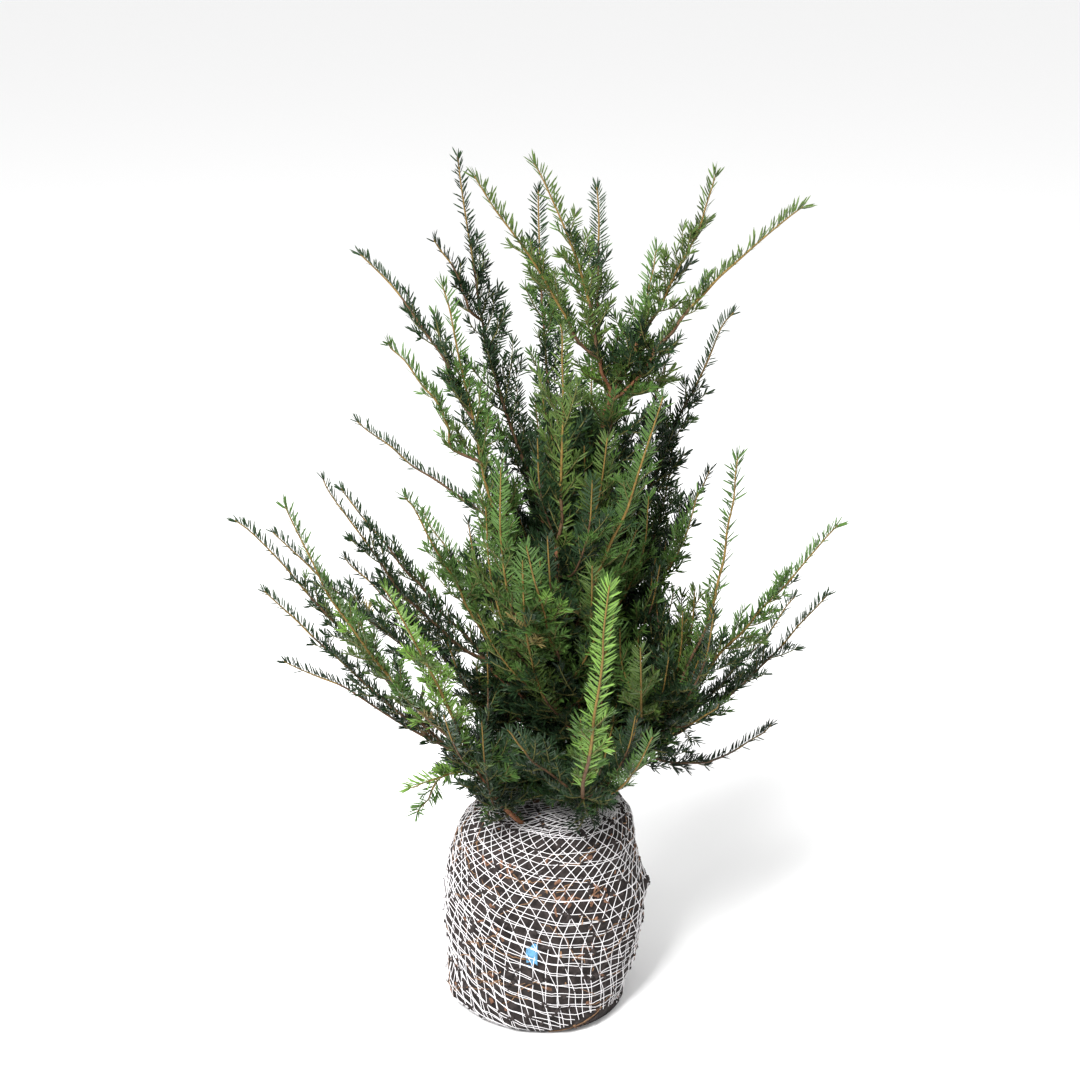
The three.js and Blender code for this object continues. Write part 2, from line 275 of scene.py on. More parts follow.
def along(path, distance):
    """Points at these distances along a path."""
    steps = np.concatenate([[0], np.cumsum(np.linalg.norm(np.diff(path, axis=0), axis=1))])
    return np.column_stack([np.interp(distance, steps, path[:, i]) for i in range(3)])


def path_length(path):
    """Length of a path."""
    return float(np.linalg.norm(np.diff(path, axis=0), axis=1).sum())


def smooth_path(knots, step):
    """A smooth path through knots, with its points about a step apart."""
    knots = np.asarray(knots, float)
    padded = np.vstack([2 * knots[0] - knots[1], knots, 2 * knots[-1] - knots[-2]])
    pieces = []
    for a, b, c, d in zip(padded, padded[1:], padded[2:], padded[3:]):
        t = np.linspace(0, 1, max(2, round(np.linalg.norm(c - b) / step) + 1))[:-1, None]
        square, cube = 2 * a - 5 * b + 4 * c - d, 3 * b - a - 3 * c + d
        pieces.append(0.5 * (2 * b + (c - a) * t + square * t**2 + cube * t**3))
    return np.vstack(pieces + [knots[-1:]])


# ---- Geometry node trees ------------------------------------------------------------------------


def new_tree(name, inputs):
    """An empty node tree with a geometry in and out and these named inputs."""
    tree = bpy.data.node_groups.new(name, "GeometryNodeTree")
    for label, kind in {"Geometry": "Geometry", **inputs}.items():
        tree.interface.new_socket(label, in_out="INPUT", socket_type=f"NodeSocket{kind}")
    tree.interface.new_socket("Geometry", in_out="OUTPUT", socket_type="NodeSocketGeometry")
    return tree, tree.nodes.new("NodeGroupInput"), tree.nodes.new("NodeGroupOutput")


def node(tree, kind, **values):
    """A new node: values named in lower case are the node's own settings, the rest are its inputs."""
    made = tree.nodes.new(kind)
    for name, value in values.items():
        if name[0].islower():
            setattr(made, name, value)
        else:
            made.inputs[name.replace("_", " ")].default_value = value
    return made


def wire(tree, *pairs):
    """Links outputs to inputs: each pair is a node and the name of its output, then a node and its input."""
    for source, output, target, socket in pairs:
        tree.links.new(source.outputs[output], target.inputs[socket])


def sweep_tree():
    """Sweeps a round section along lines, as thick as their girth, with bark relief along its normals."""
    inputs = {"Sides": "Int", "Relief": "Float", "Grain": "Float", "Finish": "Material"}
    tree, given, made = new_tree("round_sweep", inputs)
    curve = node(tree, "GeometryNodeMeshToCurve")
    circle = node(tree, "GeometryNodeCurvePrimitiveCircle", Radius=1.0)
    girth = node(tree, "GeometryNodeInputNamedAttribute", data_type="FLOAT", Name="girth")
    sweep = node(tree, "GeometryNodeCurveToMesh", Fill_Caps=True)
    place = node(tree, "GeometryNodeInputPosition")
    stretch = node(tree, "ShaderNodeVectorMath", operation="MULTIPLY")
    stretch.inputs[1].default_value = (1.0, 1.0, 0.35)
    bark = node(tree, "ShaderNodeTexNoise", Detail=3.0, Roughness=0.6)
    centred = node(tree, "ShaderNodeMath", operation="SUBTRACT")
    centred.inputs[1].default_value = 0.5
    deep = node(tree, "ShaderNodeMath", operation="MULTIPLY")
    normal = node(tree, "GeometryNodeInputNormal")
    push = node(tree, "ShaderNodeVectorMath", operation="SCALE")
    shift = node(tree, "GeometryNodeSetPosition")
    wire(
        tree,
        (given, "Geometry", curve, "Mesh"),
        (given, "Sides", circle, "Resolution"),
        (curve, "Curve", sweep, "Curve"),
        (circle, "Curve", sweep, "Profile Curve"),
        (girth, "Attribute", sweep, "Scale"),
        (place, "Position", stretch, 0),
        (stretch, "Vector", bark, "Vector"),
        (given, "Grain", bark, "Scale"),
        (bark, "Fac", centred, 0),
        (centred, "Value", deep, 0),
        (given, "Relief", deep, 1),
        (normal, "Normal", push, 0),
        (deep, "Value", push, "Scale"),
        (sweep, "Mesh", shift, "Geometry"),
        (push, "Vector", shift, "Offset"),
    )
    finish_tree(tree, shift, given, made)
    return tree


def scatter_tree():
    """Scatters flat, uneven chips over a surface, each turned and sized at random."""
    inputs = {"Density": "Float", "Chip size": "Vector", "Seed": "Int", "Finish": "Material"}
    tree, given, made = new_tree("chip_scatter", inputs)
    spread = node(tree, "GeometryNodeDistributePointsOnFaces")
    chip = node(tree, "GeometryNodeMeshCube", Vertices_X=4)
    lie = node(tree, "FunctionNodeRotateRotation", rotation_space="LOCAL")
    turn, size = (node(tree, "FunctionNodeRandomValue", data_type="FLOAT_VECTOR") for _ in range(2))
    turn.inputs["Min"].default_value = (-0.35, -0.35, 0.0)
    turn.inputs["Max"].default_value = (0.35, 0.35, 2 * math.pi)
    size.inputs["Min"].default_value = (0.4, 0.5, 0.6)
    size.inputs["Max"].default_value = (1.7, 1.4, 1.2)
    to_turn = node(tree, "FunctionNodeEulerToRotation")
    stamp = node(tree, "GeometryNodeInstanceOnPoints")
    whole = node(tree, "GeometryNodeRealizeInstances")
    ragged = node(tree, "ShaderNodeTexNoise", noise_dimensions="3D", Scale=260.0)
    centred = node(tree, "ShaderNodeVectorMath", operation="SUBTRACT")
    centred.inputs[1].default_value = (0.5, 0.5, 0.5)
    gentle = node(tree, "ShaderNodeVectorMath", operation="SCALE", Scale=0.004)
    shift = node(tree, "GeometryNodeSetPosition")
    wire(
        tree,
        (given, "Geometry", spread, "Mesh"),
        (given, "Density", spread, "Density"),
        (given, "Seed", spread, "Seed"),
        (given, "Seed", turn, "Seed"),
        (given, "Seed", size, "Seed"),
        (given, "Chip size", chip, "Size"),
        (spread, "Rotation", lie, "Rotation"),
        (turn, "Value", to_turn, "Euler"),
        (to_turn, "Rotation", lie, "Rotate By"),
        (spread, "Points", stamp, "Points"),
        (chip, "Mesh", stamp, "Instance"),
        (lie, "Rotation", stamp, "Rotation"),
        (size, "Value", stamp, "Scale"),
        (stamp, "Instances", whole, "Geometry"),
        (ragged, "Color", centred, 0),
        (centred, "Vector", gentle, 0),
        (whole, "Geometry", shift, "Geometry"),
        (gentle, "Vector", shift, "Offset"),
    )
    finish_tree(tree, shift, given, made)
    return tree


def finish_tree(tree, last, given, made):
    """Ends a tree: shaded smooth, every instance made real, and its finish set."""
    soft = node(tree, "GeometryNodeSetShadeSmooth")
    whole = node(tree, "GeometryNodeRealizeInstances")
    coat = node(tree, "GeometryNodeSetMaterial")
    for before, after in ((last, soft), (soft, whole), (whole, coat), (coat, made)):
        wire(tree, (before, "Geometry", after, "Geometry"))
    wire(tree, (given, "Finish", coat, "Material"))


def as_modified(piece):
    """A plain mesh of a piece as its modifiers leave it; the modifiers are then removed."""
    mesh = bpy.data.meshes.new_from_object(piece.evaluated_get(bpy.context.evaluated_depsgraph_get()))
    piece.modifiers.clear()
    return mesh


def run_tree(source, tree, name, **values):
    """Runs a node tree on a source object and returns its result as a plain mesh object."""
    modifier = source.modifiers.new(tree.name, "NODES")
    modifier.node_group = tree
    for socket in tree.interface.items_tree:
        key = socket.name.lower().replace(" ", "_")
        if socket.in_out == "INPUT" and key in values:
            modifier[socket.identifier] = values[key]
    source.update_tag()
    mesh = as_modified(source)
    mesh.name = name
    if not len(mesh.polygons):
        raise RuntimeError(f"{name} came out empty")
    return placed(name, mesh)


def sweep(name, lines, girths, finish, sides=6, relief=0.0, grain=200.0):
    """Sweeps lines into one piece."""
    source = line_piece(f"{name}_lines", lines, girths)
    tree = bpy.data.node_groups.get("round_sweep") or sweep_tree()
    piece = run_tree(source, tree, name, sides=sides, relief=relief, grain=grain, finish=finish)
    bpy.data.objects.remove(source)
    return piece


def hand_over(piece, slot, *nodes):
    """Fixes a finished piece to the plant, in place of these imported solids."""
    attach(piece, BODY)
    if nodes:
        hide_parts(*nodes)


# ---- Finishes -----------------------------------------------------------------------------------


def new_finish(name, roughness, gloss):
    """A material and its main shader."""
    material = bpy.data.materials.new(name)
    material.use_nodes = True
    shader = material.node_tree.nodes["Principled BSDF"]
    shader.inputs["Roughness"].default_value = roughness
    shader.inputs["Specular IOR Level"].default_value = gloss
    return material, shader


def mottled_finish(name, roughness, stops, scale, bump, stretch=(1.0, 1.0, 1.0), detail=5.0, gloss=0.15):
    """A finish whose colour wanders between stops and whose surface is bumped by the same grain."""
    material, shader = new_finish(name, roughness, gloss)
    tree = material.node_tree
    place = node(tree, "ShaderNodeTexCoord")
    mapping = node(tree, "ShaderNodeMapping", Scale=stretch)
    grain = node(tree, "ShaderNodeTexNoise", Scale=scale, Detail=detail, Roughness=0.62)
    ramp = node(tree, "ShaderNodeValToRGB")
    ramp.color_ramp.elements.remove(ramp.color_ramp.elements[1])
    for i, (position, tint) in enumerate(stops):
        stop = ramp.color_ramp.elements[0] if i == 0 else ramp.color_ramp.elements.new(position)
        stop.position = position
        stop.color = (*tint, 1.0)
    relief = node(tree, "ShaderNodeBump", Strength=0.8, Distance=bump)
    wire(
        tree,
        (place, "Object", mapping, "Vector"),
        (mapping, "Vector", grain, "Vector"),
        (grain, "Fac", ramp, "Fac"),
        (ramp, "Color", shader, "Base Color"),
        (grain, "Fac", relief, "Height"),
        (relief, "Normal", shader, "Normal"),
    )
    return material


def shade(base, share):
    """The same colour, darker or lighter."""
    return tuple(min(1.0, channel * share) for channel in base)


def plain_finish(name, tint, roughness, gloss):
    """One even colour."""
    material, shader = new_finish(name, roughness, gloss)
    shader.inputs["Base Color"].default_value = (*tint, 1.0)
    return material


# Each kind of surface: how rough it is, the stops of its colour as a place in the grain and a share of the
# base colour, how fine and how deep the grain is, and what else it needs.
SURFACES = {
    # Smooth young bark with a little grain.
    "shoot": (0.62, ((0.30, 0.65), (0.50, 1.0), (0.72, 1.35)), 160.0, 0.0004, {}),
    # Flaking reddish bark with dark cracks and pale scales.
    "bark": (
        0.85,
        ((0.28, 0.30), (0.44, 0.85), (0.60, 1.35), (0.78, 2.0)),
        140.0,
        0.0012,
        {"stretch": (1.0, 1.0, 0.30)},
    ),
    # Damp crumbly soil.
    "soil": (0.95, ((0.30, 0.35), (0.46, 0.9), (0.62, 1.7), (0.82, 3.2)), 95.0, 0.0022, {"detail": 9.0}),
    # Knitted white yarn, a little greyed by the soil.
    "yarn": (0.70, ((0.25, 0.80), (0.45, 0.97), (0.70, 1.08)), 420.0, 0.0003, {}),
    # A chip of bark or a root.
    "chip": (0.85, ((0.30, 0.45), (0.50, 1.0), (0.72, 1.7)), 210.0, 0.0006, {}),
    # Thin plastic with a soft shine.
    "scrap": (0.38, ((0.35, 0.75), (0.50, 1.0), (0.68, 1.25)), 120.0, 0.0004, {"gloss": 0.4}),
}


def grained(surface, name, base):
    """A finish of this kind of surface in this base colour."""
    roughness, stops, scale, bump, more = SURFACES[surface]
    stops = [(place, shade(base, share)) for place, share in stops]
    return mottled_finish(name, roughness, stops, scale, bump, **more)


# ---- Middle lines of the solids -----------------------------------------------------------------


def surface_samples(name, count, rng):
    """Points spread evenly over a solid's surface."""
    points, triangles = node_points(name)
    a, b, c = (points[triangles[:, i]] for i in range(3))
    area = np.linalg.norm(np.cross(b - a, c - a), axis=1)
    pick = rng.choice(len(triangles), count, p=area / area.sum())
    u, v = rng.random((2, count, 1))
    u, v = np.where(u + v > 1, 1 - u, u), np.where(u + v > 1, 1 - v, v)
    return a[pick] + u * (b - a)[pick] + v * (c - a)[pick]


# How much more a shoot bows than the middle of the solid round it.
BOW = 1.2


def middle_line(name, foot, rng, degree=3, slices=12):
    """A solid's middle line from its end nearest the foot, and its radius along it."""
    corners = node_points(name)[0]
    tip = corners[np.argmax(np.linalg.norm(corners - foot, axis=1))]
    points = surface_samples(name, 3000, rng)
    axis = unit(tip - points.mean(axis=0))
    for _ in range(2):
        reach = (points - tip) @ axis
        near = points[reach < np.quantile(reach, 0.02)].mean(axis=0)
        axis = unit(tip - near)
    share = (points - near) @ axis / np.linalg.norm(tip - near)
    spots = (np.arange(slices) + 0.5) / slices
    centres, radii, kept = [], [], []
    for spot in spots:
        ring = points[abs(share - spot) < 0.7 / slices]
        if len(ring) < 12:
            continue
        kept.append(spot)
        centres.append(ring.mean(axis=0))
        across = ring - centres[-1]
        across -= np.outer(across @ axis, axis)
        radii.append(np.linalg.norm(across, axis=1).mean())
    kept = np.array(kept + [1.0])
    centres = np.array(centres + [tip])
    weight = np.append(np.ones(len(kept) - 1), 3.0)
    fit = np.polyfit(kept, centres, degree, w=weight)
    even = np.linspace(0, 1, 3 * slices)
    line = sum(np.outer(even ** (degree - i), fit[i]) for i in range(degree + 1))
    line += np.outer(even**4, tip - line[-1])
    chord = line[0] + np.outer(even, line[-1] - line[0])
    line = chord + BOW * (line - chord)
    return line, np.interp(even, kept, np.append(radii, radii[-1] * 0.5))


# ---- The plan of growth -------------------------------------------------------------------------


class Shoot:
    """One limb, shoot or twig: its path, its radius at each end, its order, and its spray's tint.

    Its order is -2 for the trunk, -1 for a bough, 0 for a leading shoot, 1 for a side shoot and 2 for a twig.
    """

    def __init__(self, path, girth, order, tint="", leafy=(0.0, 1.0), radii=None):
        self.path = path
        self.girth = girth
        self.order = order
        self.tint = tint
        self.leafy = leafy
        self.radii = radii
        self.length = path_length(path)

    def at(self, distance):
        """Point, direction and upper side at a distance along the shoot."""
        point, ahead, behind = along(self.path, [distance, distance + 0.003, distance - 0.003])
        step = ahead - behind
        tangent = unit(step if np.linalg.norm(step) > 1e-6 else self.path[-1] - self.path[0])
        return point, tangent, upper_side(point, tangent)

    def taper(self):
        """Radius of the wood at each point of the path, thinning evenly."""
        return np.linspace(*self.girth, len(self.path))

    def thickness(self, distance):
        """Radius of the wood at a distance along the shoot."""
        if self.radii is not None:
            return np.interp(distance / self.length, np.linspace(0, 1, len(self.radii)), self.radii)
        return self.girth[0] + (self.girth[1] - self.girth[0]) * (distance / self.length)


def upper_side(points, tangents):
    """The side of each shoot that faces up and in towards the trunk, square to the shoot."""
    inward = -points * (1.0, 1.0, 0.0) + (0.05, 0.0, 0.0)
    level = np.linalg.norm(tangents[..., :2], axis=-1, keepdims=True)
    want = UP * level + unit(inward) * (1.05 - level)
    return unit(want - (want * tangents).sum(axis=-1, keepdims=True) * tangents)


def branch(shoot, distance, turn, fork, span, lift, order, tint, settings):
    """A side shoot that leaves another at an angle, turned round it, and curves up a little."""
    point, tangent, upper = shoot.at(distance)
    across = np.cross(tangent, upper)
    out = math.cos(turn) * upper + math.sin(turn) * across
    start = math.cos(fork) * tangent + math.sin(fork) * out
    end = unit(start + 0.45 * tangent + lift * UP)
    middle = point + 0.5 * span * start
    tip = middle + 0.5 * span * end
    knee = 0.5 * (middle + (point + 0.6 * span * start))
    path = bowed(point, knee, tip, max(3, round(span / 0.009) + 1))
    girth = min(settings.side_girth * (0.55 + 0.45 * span / 0.06), 0.7 * shoot.thickness(distance))
    return Shoot(path, (max(girth, settings.tip_girth * 0.8), settings.tip_girth * 0.7), order, tint)


def main_tint(mass):
    """The main tint of a mass's needles."""
    plain = mass.removeprefix("foliage_")
    return next((tint for tint, masses in MAIN_TINTS.items() if plain in masses), "deep")


def spray_tint(main, rng):
    """The tint of one spray in a mass of this main tint."""
    return str(rng.choice(TINTS, p=SPRAY_SHARES[main]))


def nearest_wood(base, heading, wood):
    """The wood point that a new leader should leave from: close, and behind it."""
    points = np.concatenate([limb.path for limb in wood])
    gap = base - points
    distance = np.linalg.norm(gap, axis=1)
    behind = (gap @ heading) / np.maximum(distance, 1e-6)
    return points[np.argmin(distance + 0.012 * (1 - behind))]


def bough_order():
    """The boughs from the lowest foot up."""
    return sorted(BOUGH_NODES, key=lambda name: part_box(name)[0][2])


def grow_wood(rng):
    """The trunk and its boughs."""
    low = np.array(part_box(TRUNK_NODE)[0])
    trunk_line, trunk_radii = middle_line(TRUNK_NODE, low, rng, degree=7, slices=22)
    trunk_line = trunk_line[np.argsort(trunk_line[:, 2])]
    trunk_line[0, 2] = low[2] - 0.012
    trunk_path = smooth_path(trunk_line[::2], 0.0025)
    trunk = Shoot(trunk_path, (trunk_radii[0], trunk_radii[-1]), -2, radii=trunk_radii)
    wood = [trunk]
    foot = trunk.path[0]
    for name in bough_order():
        line, radii = middle_line(name, foot, rng, slices=6)
        heading = unit(line[4] - line[0])
        start = nearest_wood(line[0], heading, [trunk])
        if np.linalg.norm(start - line[0]) > 0.03:
            start = line[0] + 0.006 * unit((foot - line[0]) * (1, 1, 0)) - 0.012 * UP
        path = smooth_path(np.vstack([start, line[3:-2:4], line[-1]]), 0.003)
        tint = "olive" if "fork" in name else "deep"
        wood.append(Shoot(path, (radii[1] * 0.66, radii[-2] * 0.62), -1, tint))
    return wood


def grow_leader(name, wood, foot, rng, settings):
    """The leading shoot of a mass, from the wood to the mass's tip, and the mass's radius along it."""
    line, radii = middle_line(name, foot, rng)
    heading = unit(line[6] - line[0])
    start = nearest_wood(line[2], heading, wood)
    knots = [start] + [p for p in line[4:-1:4]] + [line[-1]]
    if np.linalg.norm(knots[0] - knots[1]) < 0.008:
        knots.pop(1)
    wander = rng.normal(0, 0.0012, (len(knots), 3))
    wander[0] = wander[-1] = 0
    knots[-1] = knots[-1] - 0.008 * unit(line[-1] - line[-4])
    path = smooth_path(np.array(knots) + wander, 0.006)
    share = path_length(path) / 0.30
    girth = settings.leader_girth * (0.75 + 0.30 * min(share, 1.4))
    leader = Shoot(path, (girth, settings.tip_girth), 0, main_tint(name), leafy=(0.04, 1.0))
    return leader, radii


def grow_sides(leader, radii, rng, settings, slender=False):
    """Side shoots of a leading shoot, filling its mass, with twigs of their own."""
    sides = []
    bare = min(settings.bare_tip, 0.36 * leader.length)
    if slender:
        bare, radii = 0.58 * leader.length, 0.6 * radii
    distance = 0.012 + 0.01 * rng.random()
    hand = rng.choice((-1, 1))
    while distance < leader.length - bare:
        share = distance / leader.length
        fork = math.radians(rng.uniform(30, 50))
        radius = np.interp(share, np.linspace(0, 1, len(radii)), radii)
        left = leader.length - distance
        span = min(radius / math.sin(fork) * rng.uniform(0.70, 1.25), 0.62 * left)
        turn = hand * math.radians(rng.normal(80, 38))
        tint = leader.tint if rng.random() < 0.4 else spray_tint(leader.tint, rng)
        side = branch(leader, distance, turn, fork, max(span, 0.014), 0.28, 1, tint, settings)
        sides.append(side)
        sides.extend(grow_twigs(side, rng, settings))
        hand = -hand
        distance += settings.side_step * rng.uniform(0.65, 1.4)
    return sides


def grow_twigs(side, rng, settings):
    """Short twigs of a side shoot."""
    twigs = []
    hand = rng.choice((-1, 1))
    distance = 0.010 + 0.006 * rng.random()
    while side.length > 0.028 and distance < side.length * 0.72:
        fork = math.radians(rng.uniform(34, 52))
        span = min(0.55 * (side.length - distance), 0.034) * rng.uniform(0.7, 1.15)
        turn = hand * math.radians(rng.normal(85, 25))
        twigs.append(branch(side, distance, turn, fork, max(span, 0.010), 0.2, 2, side.tint, settings))
        hand = -hand
        distance += rng.uniform(0.008, 0.013)
    return twigs


def grow_inner(limb, step, reach, rng, settings, first=0.05, last=0.97):
    """Leafy shoots straight from the trunk or a bough, which fill the inside of the plant.

    The reach is theirs at the limb's foot and at its end.
    """
    shoots = []
    distance = first * limb.length
    turn = rng.uniform(0, 2 * math.pi)
    while distance < last * limb.length:
        point = along(limb.path, [distance])[0]
        # Painted shade: inner shoots below LIGHT_ABOVE take mostly the nearly black tint, and those above take
        # lighter tints.
        main = "deep" if rng.random() < 0.3 else "dark"
        tint = spray_tint(str(rng.choice(("mid", "olive", "deep"))) if point[2] > LIGHT_ABOVE else main, rng)
        fork = math.radians(rng.uniform(40, 75))
        span = (reach[0] + (reach[1] - reach[0]) * distance / limb.length) * rng.uniform(0.45, 1.2)
        shoot = branch(limb, distance, turn, fork, span, 0.75, 1, tint, settings)
        if shoot.path[:, 2].min() > BALL_TOP + BALL_CLEARANCE:
            shoots.append(shoot)
            shoots.extend(grow_twigs(shoot, rng, settings))
        turn += math.radians(137) + rng.normal(0, 0.3)
        open_top = max(point[2] - OPEN_ABOVE, 0.0) / 0.10 if limb.order < -1 else 0.0
        distance += step * rng.uniform(0.7, 1.3) * (1.0 + open_top)
    return shoots


def grow_through(knots, stout, main, radii, rng, settings):
    """A leading shoot through these knots, as stout as this share of a full one, and its side shoots."""
    girth = (stout * settings.leader_girth, settings.tip_girth)
    leader = Shoot(smooth_path(np.array(knots), 0.006), girth, 0, main, leafy=(0.08, 1.0))
    return leader, grow_sides(leader, np.array(radii), rng, settings)


# How many risers each limb carries.
RISERS = {
    "trunk": 34,
    "bough_leader_left": 10,
    "bough_leader_middle": 12,
    "bough_leader_back": 7,
    "bough_front": 4,
    "bough_front_left": 4,
    "bough_left_low": 6,
    "bough_left_mid": 5,
    "bough_left_back": 5,
    "bough_right_front": 7,
    "bough_right_mid": 5,
    "bough_right_low": 5,
    "bough_right_back": 6,
    "bough_back": 7,
}
# How high a riser's tip may reach.
RISER_TOP = 0.74


def grow_risers(limb, count, rng, settings):
    """Upright leafy shoots from a limb, which crowd the middle of the plant below its leading shoots."""
    leaders, shoots = [], []
    for spot in (np.arange(count) + rng.random(count)) / max(count, 1):
        point = limb.at((0.12 + 0.86 * spot) * limb.length)[0]
        turn = rng.uniform(0, 2 * math.pi)
        out = np.array([math.cos(turn), math.sin(turn), 0.0])
        span = rng.uniform(0.085, 0.185)
        span = min(span, RISER_TOP + rng.normal(0, 0.015) - point[2])
        if span < 0.05:
            continue
        start = unit(out + 0.5 * UP)
        end = unit(UP + out * rng.uniform(0.05, 0.45) + (0.35 * point[0] - 0.02, 0.35 * point[1], 0))
        knee = point + 0.22 * span * start
        knots = [point, knee, knee + 0.40 * span * unit(start + 2 * end)]
        knots.append(knots[-1] + 0.38 * span * end)
        front = knots[-1][1] < -0.02
        # Risers behind the middle take more of the nearly black tint: painted shade at the back of the plant.
        shares = (0.30, 0.18, 0.42, 0.10) if front else (0.18, 0.04, 0.44, 0.34)
        main = str(rng.choice(("mid", "olive", "deep", "dark"), p=shares))
        leader, sides = grow_through(knots, 0.62, main, (0.014, 0.019, 0.017, 0.010), rng, settings)
        leaders.append(leader)
        shoots.extend(sides)
    return leaders, shoots


# Long shoots that lean out where no solid stands for them: the limb, how far along it, direction and lean in
# degrees, and length.
OUTER_SHOOTS = (
    ("bough_back", 0.50, 60, 44, 0.20),
    ("bough_back", 0.80, 118, 40, 0.21),
    ("bough_back", 0.95, 88, 32, 0.22),
    ("trunk", 0.30, 104, 52, 0.19),
    ("trunk", 0.45, 72, 36, 0.23),
    ("trunk", 0.58, 112, 34, 0.22),
    ("trunk", 0.72, 82, 30, 0.20),
    ("trunk", 0.84, 60, 26, 0.17),
    ("bough_leader_back", 0.60, 100, 32, 0.22),
    ("bough_right_back", 0.70, 58, 36, 0.19),
    ("bough_left_back", 0.60, 106, 42, 0.20),
    ("bough_left_low", 0.55, 112, 50, 0.17),
    ("bough_right_low", 0.60, 70, 48, 0.17),
    ("bough_front", 0.60, -50, 40, 0.16),
    ("trunk", 0.42, -92, 40, 0.20),
    ("trunk", 0.66, -72, 30, 0.19),
    ("bough_leader_middle", 0.55, -104, 28, 0.20),
    ("bough_leader_left", 0.75, -100, 28, 0.19),
    ("bough_leader_left", 0.35, -125, 20, 0.24),
    ("bough_leader_left", 0.60, -150, 16, 0.25),
    ("bough_leader_left", 0.90, -120, 12, 0.23),
    ("bough_right_front", 0.45, -96, 34, 0.17),
    ("bough_right_mid", 0.60, -50, 36, 0.16),
    ("bough_right_mid", 0.95, 30, 15, 0.16),
    ("bough_right_mid", 0.75, 60, 12, 0.16),
    ("bough_right_low", 0.95, 10, 18, 0.19),
    ("bough_right_low", 0.80, 60, 22, 0.19),
    ("bough_right_front", 0.50, 10, 12, 0.14),
    ("trunk", 0.30, 5, 42, 0.17),
    ("trunk", 0.40, 20, 36, 0.17),
)


def grow_outer(limbs, rng, settings):
    """Long shoots that lean out at the back, the sides and the front."""
    leaders, shoots = [], []
    for name, share, turn, lean, span in OUTER_SHOOTS:
        point = limbs[name].at(share * limbs[name].length)[0]
        turn = math.radians(turn)
        knots = [point]
        for part, tilt in ((0.30, lean + 22), (0.35, lean), (0.35, lean - 12)):
            tilt = math.radians(tilt)
            level = math.sin(tilt)
            heading = np.array([level * math.cos(turn), level * math.sin(turn), math.cos(tilt)])
            knots.append(knots[-1] + part * span * heading + rng.normal(0, 0.001, 3))
        main = str(rng.choice(("mid", "olive", "deep"), p=(0.5, 0.2, 0.3)))
        leader, sides = grow_through(knots, 0.8, main, (0.016, 0.022, 0.019, 0.010), rng, settings)
        leaders.append(leader)
        shoots.extend(sides)
    return leaders, shoots


def grow_skirt(trunk, rng, settings):
    """Low leafy shoots round the trunk's foot, which spread over the top of the root ball to its rim."""
    low, high = (np.array(corner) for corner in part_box(BALL_NODE))
    middle = (low + high) / 2 * (1, 1, 0)
    shoots = []
    for i in range(SKIRT_SHOOTS):
        start = trunk.at(rng.uniform(0.016, 0.060))[0]
        turn = 2 * math.pi * i / SKIRT_SHOOTS + rng.normal(0, 0.10)
        out = np.array([math.cos(turn), math.sin(turn), 0.0])
        from_middle = (start - middle) * (1, 1, 0)
        slant = out @ from_middle
        span = -slant + math.sqrt(max(slant**2 + SKIRT_REACH**2 - from_middle @ from_middle, 0.0004))
        span *= rng.uniform(0.62, 1.20)
        tip = start + span * out
        tip[2] = BALL_TOP + rng.uniform(0.030, 0.062)
        rise = start + 0.5 * span * out + UP * rng.uniform(0.006, 0.030)
        path = bowed(start, rise, tip, max(4, round(span / 0.008)))
        # Painted shade: the low shoots under the plant take the deep and nearly black tints.
        tint = spray_tint("deep" if rng.random() < 0.6 else "dark", rng)
        shoot = Shoot(path, (settings.side_girth, settings.tip_girth), 1, tint)
        shoots.append(shoot)
        shoots.extend(grow_twigs(shoot, rng, settings))
    return shoots


def grow_plant(settings):
    """Every limb and shoot of the plant: the wood, the leading shoots, and all that they carry."""
    rng = np.random.default_rng(settings.seed)
    wood = grow_wood(rng)
    foot = wood[0].path[0]
    leaders, shoots = [], []
    for name in sorted(MASS_NODES, key=lambda n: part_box(n)[0][2]):
        leader, radii = grow_leader(name, wood + leaders, foot, rng, settings)
        leaders.append(leader)
        slender = name.removeprefix("foliage_") in SLENDER
        shoots.extend(grow_sides(leader, radii, rng, settings, slender))
    shoots.extend(grow_inner(wood[0], 0.0030, (0.140, 0.070), rng, settings, first=0.08))
    for bough in wood[1:]:
        shoots.extend(grow_inner(bough, 0.0046, (0.060, 0.050), rng, settings, first=0.18))
    limbs = dict(zip([TRUNK_NODE] + bough_order(), wood))
    added = [grow_risers(limbs[name], count, rng, settings) for name, count in RISERS.items()]
    added.append(grow_outer(limbs, rng, settings))
    for new_leaders, new_shoots in added:
        leaders.extend(new_leaders)
        shoots.extend(new_shoots)
    shoots.extend(grow_skirt(wood[0], rng, settings))
    return wood, leaders, shoots


# What the steps have worked out for the steps after them.
grown = {}


def earlier(key, step):
    """What an earlier step worked out; an error if it hasn't run."""
    if key not in grown:
        raise RuntimeError(f"Run {step} first")
    return grown[key]


def plant():
    """The plan of growth, worked out once."""
    if "wood" not in grown:
        grown["wood"], grown["leaders"], grown["shoots"] = grow_plant(bpy.context.scene.yew_shoots)
    return grown["wood"], grown["leaders"], grown["shoots"]


# ---- Needles ------------------------------------------------------------------------------------

# A needle's outline: distance along it, across it, and the lift of its midrib, as shares of its sizes.
NEEDLE_POINTS = np.array(
    [
        (0.00, 0.00, 0.00),
        (0.28, -0.50, 0.00),
        (0.30, 0.00, 0.16),
        (0.28, 0.50, 0.00),
        (0.78, -0.38, 0.00),
        (0.78, 0.38, 0.00),
        (1.00, 0.00, 0.00),
    ]
)
NEEDLE_FACES = np.array([(0, 2, 1), (0, 3, 2), (1, 2, 4), (4, 2, 5), (2, 3, 5), (4, 5, 6)])
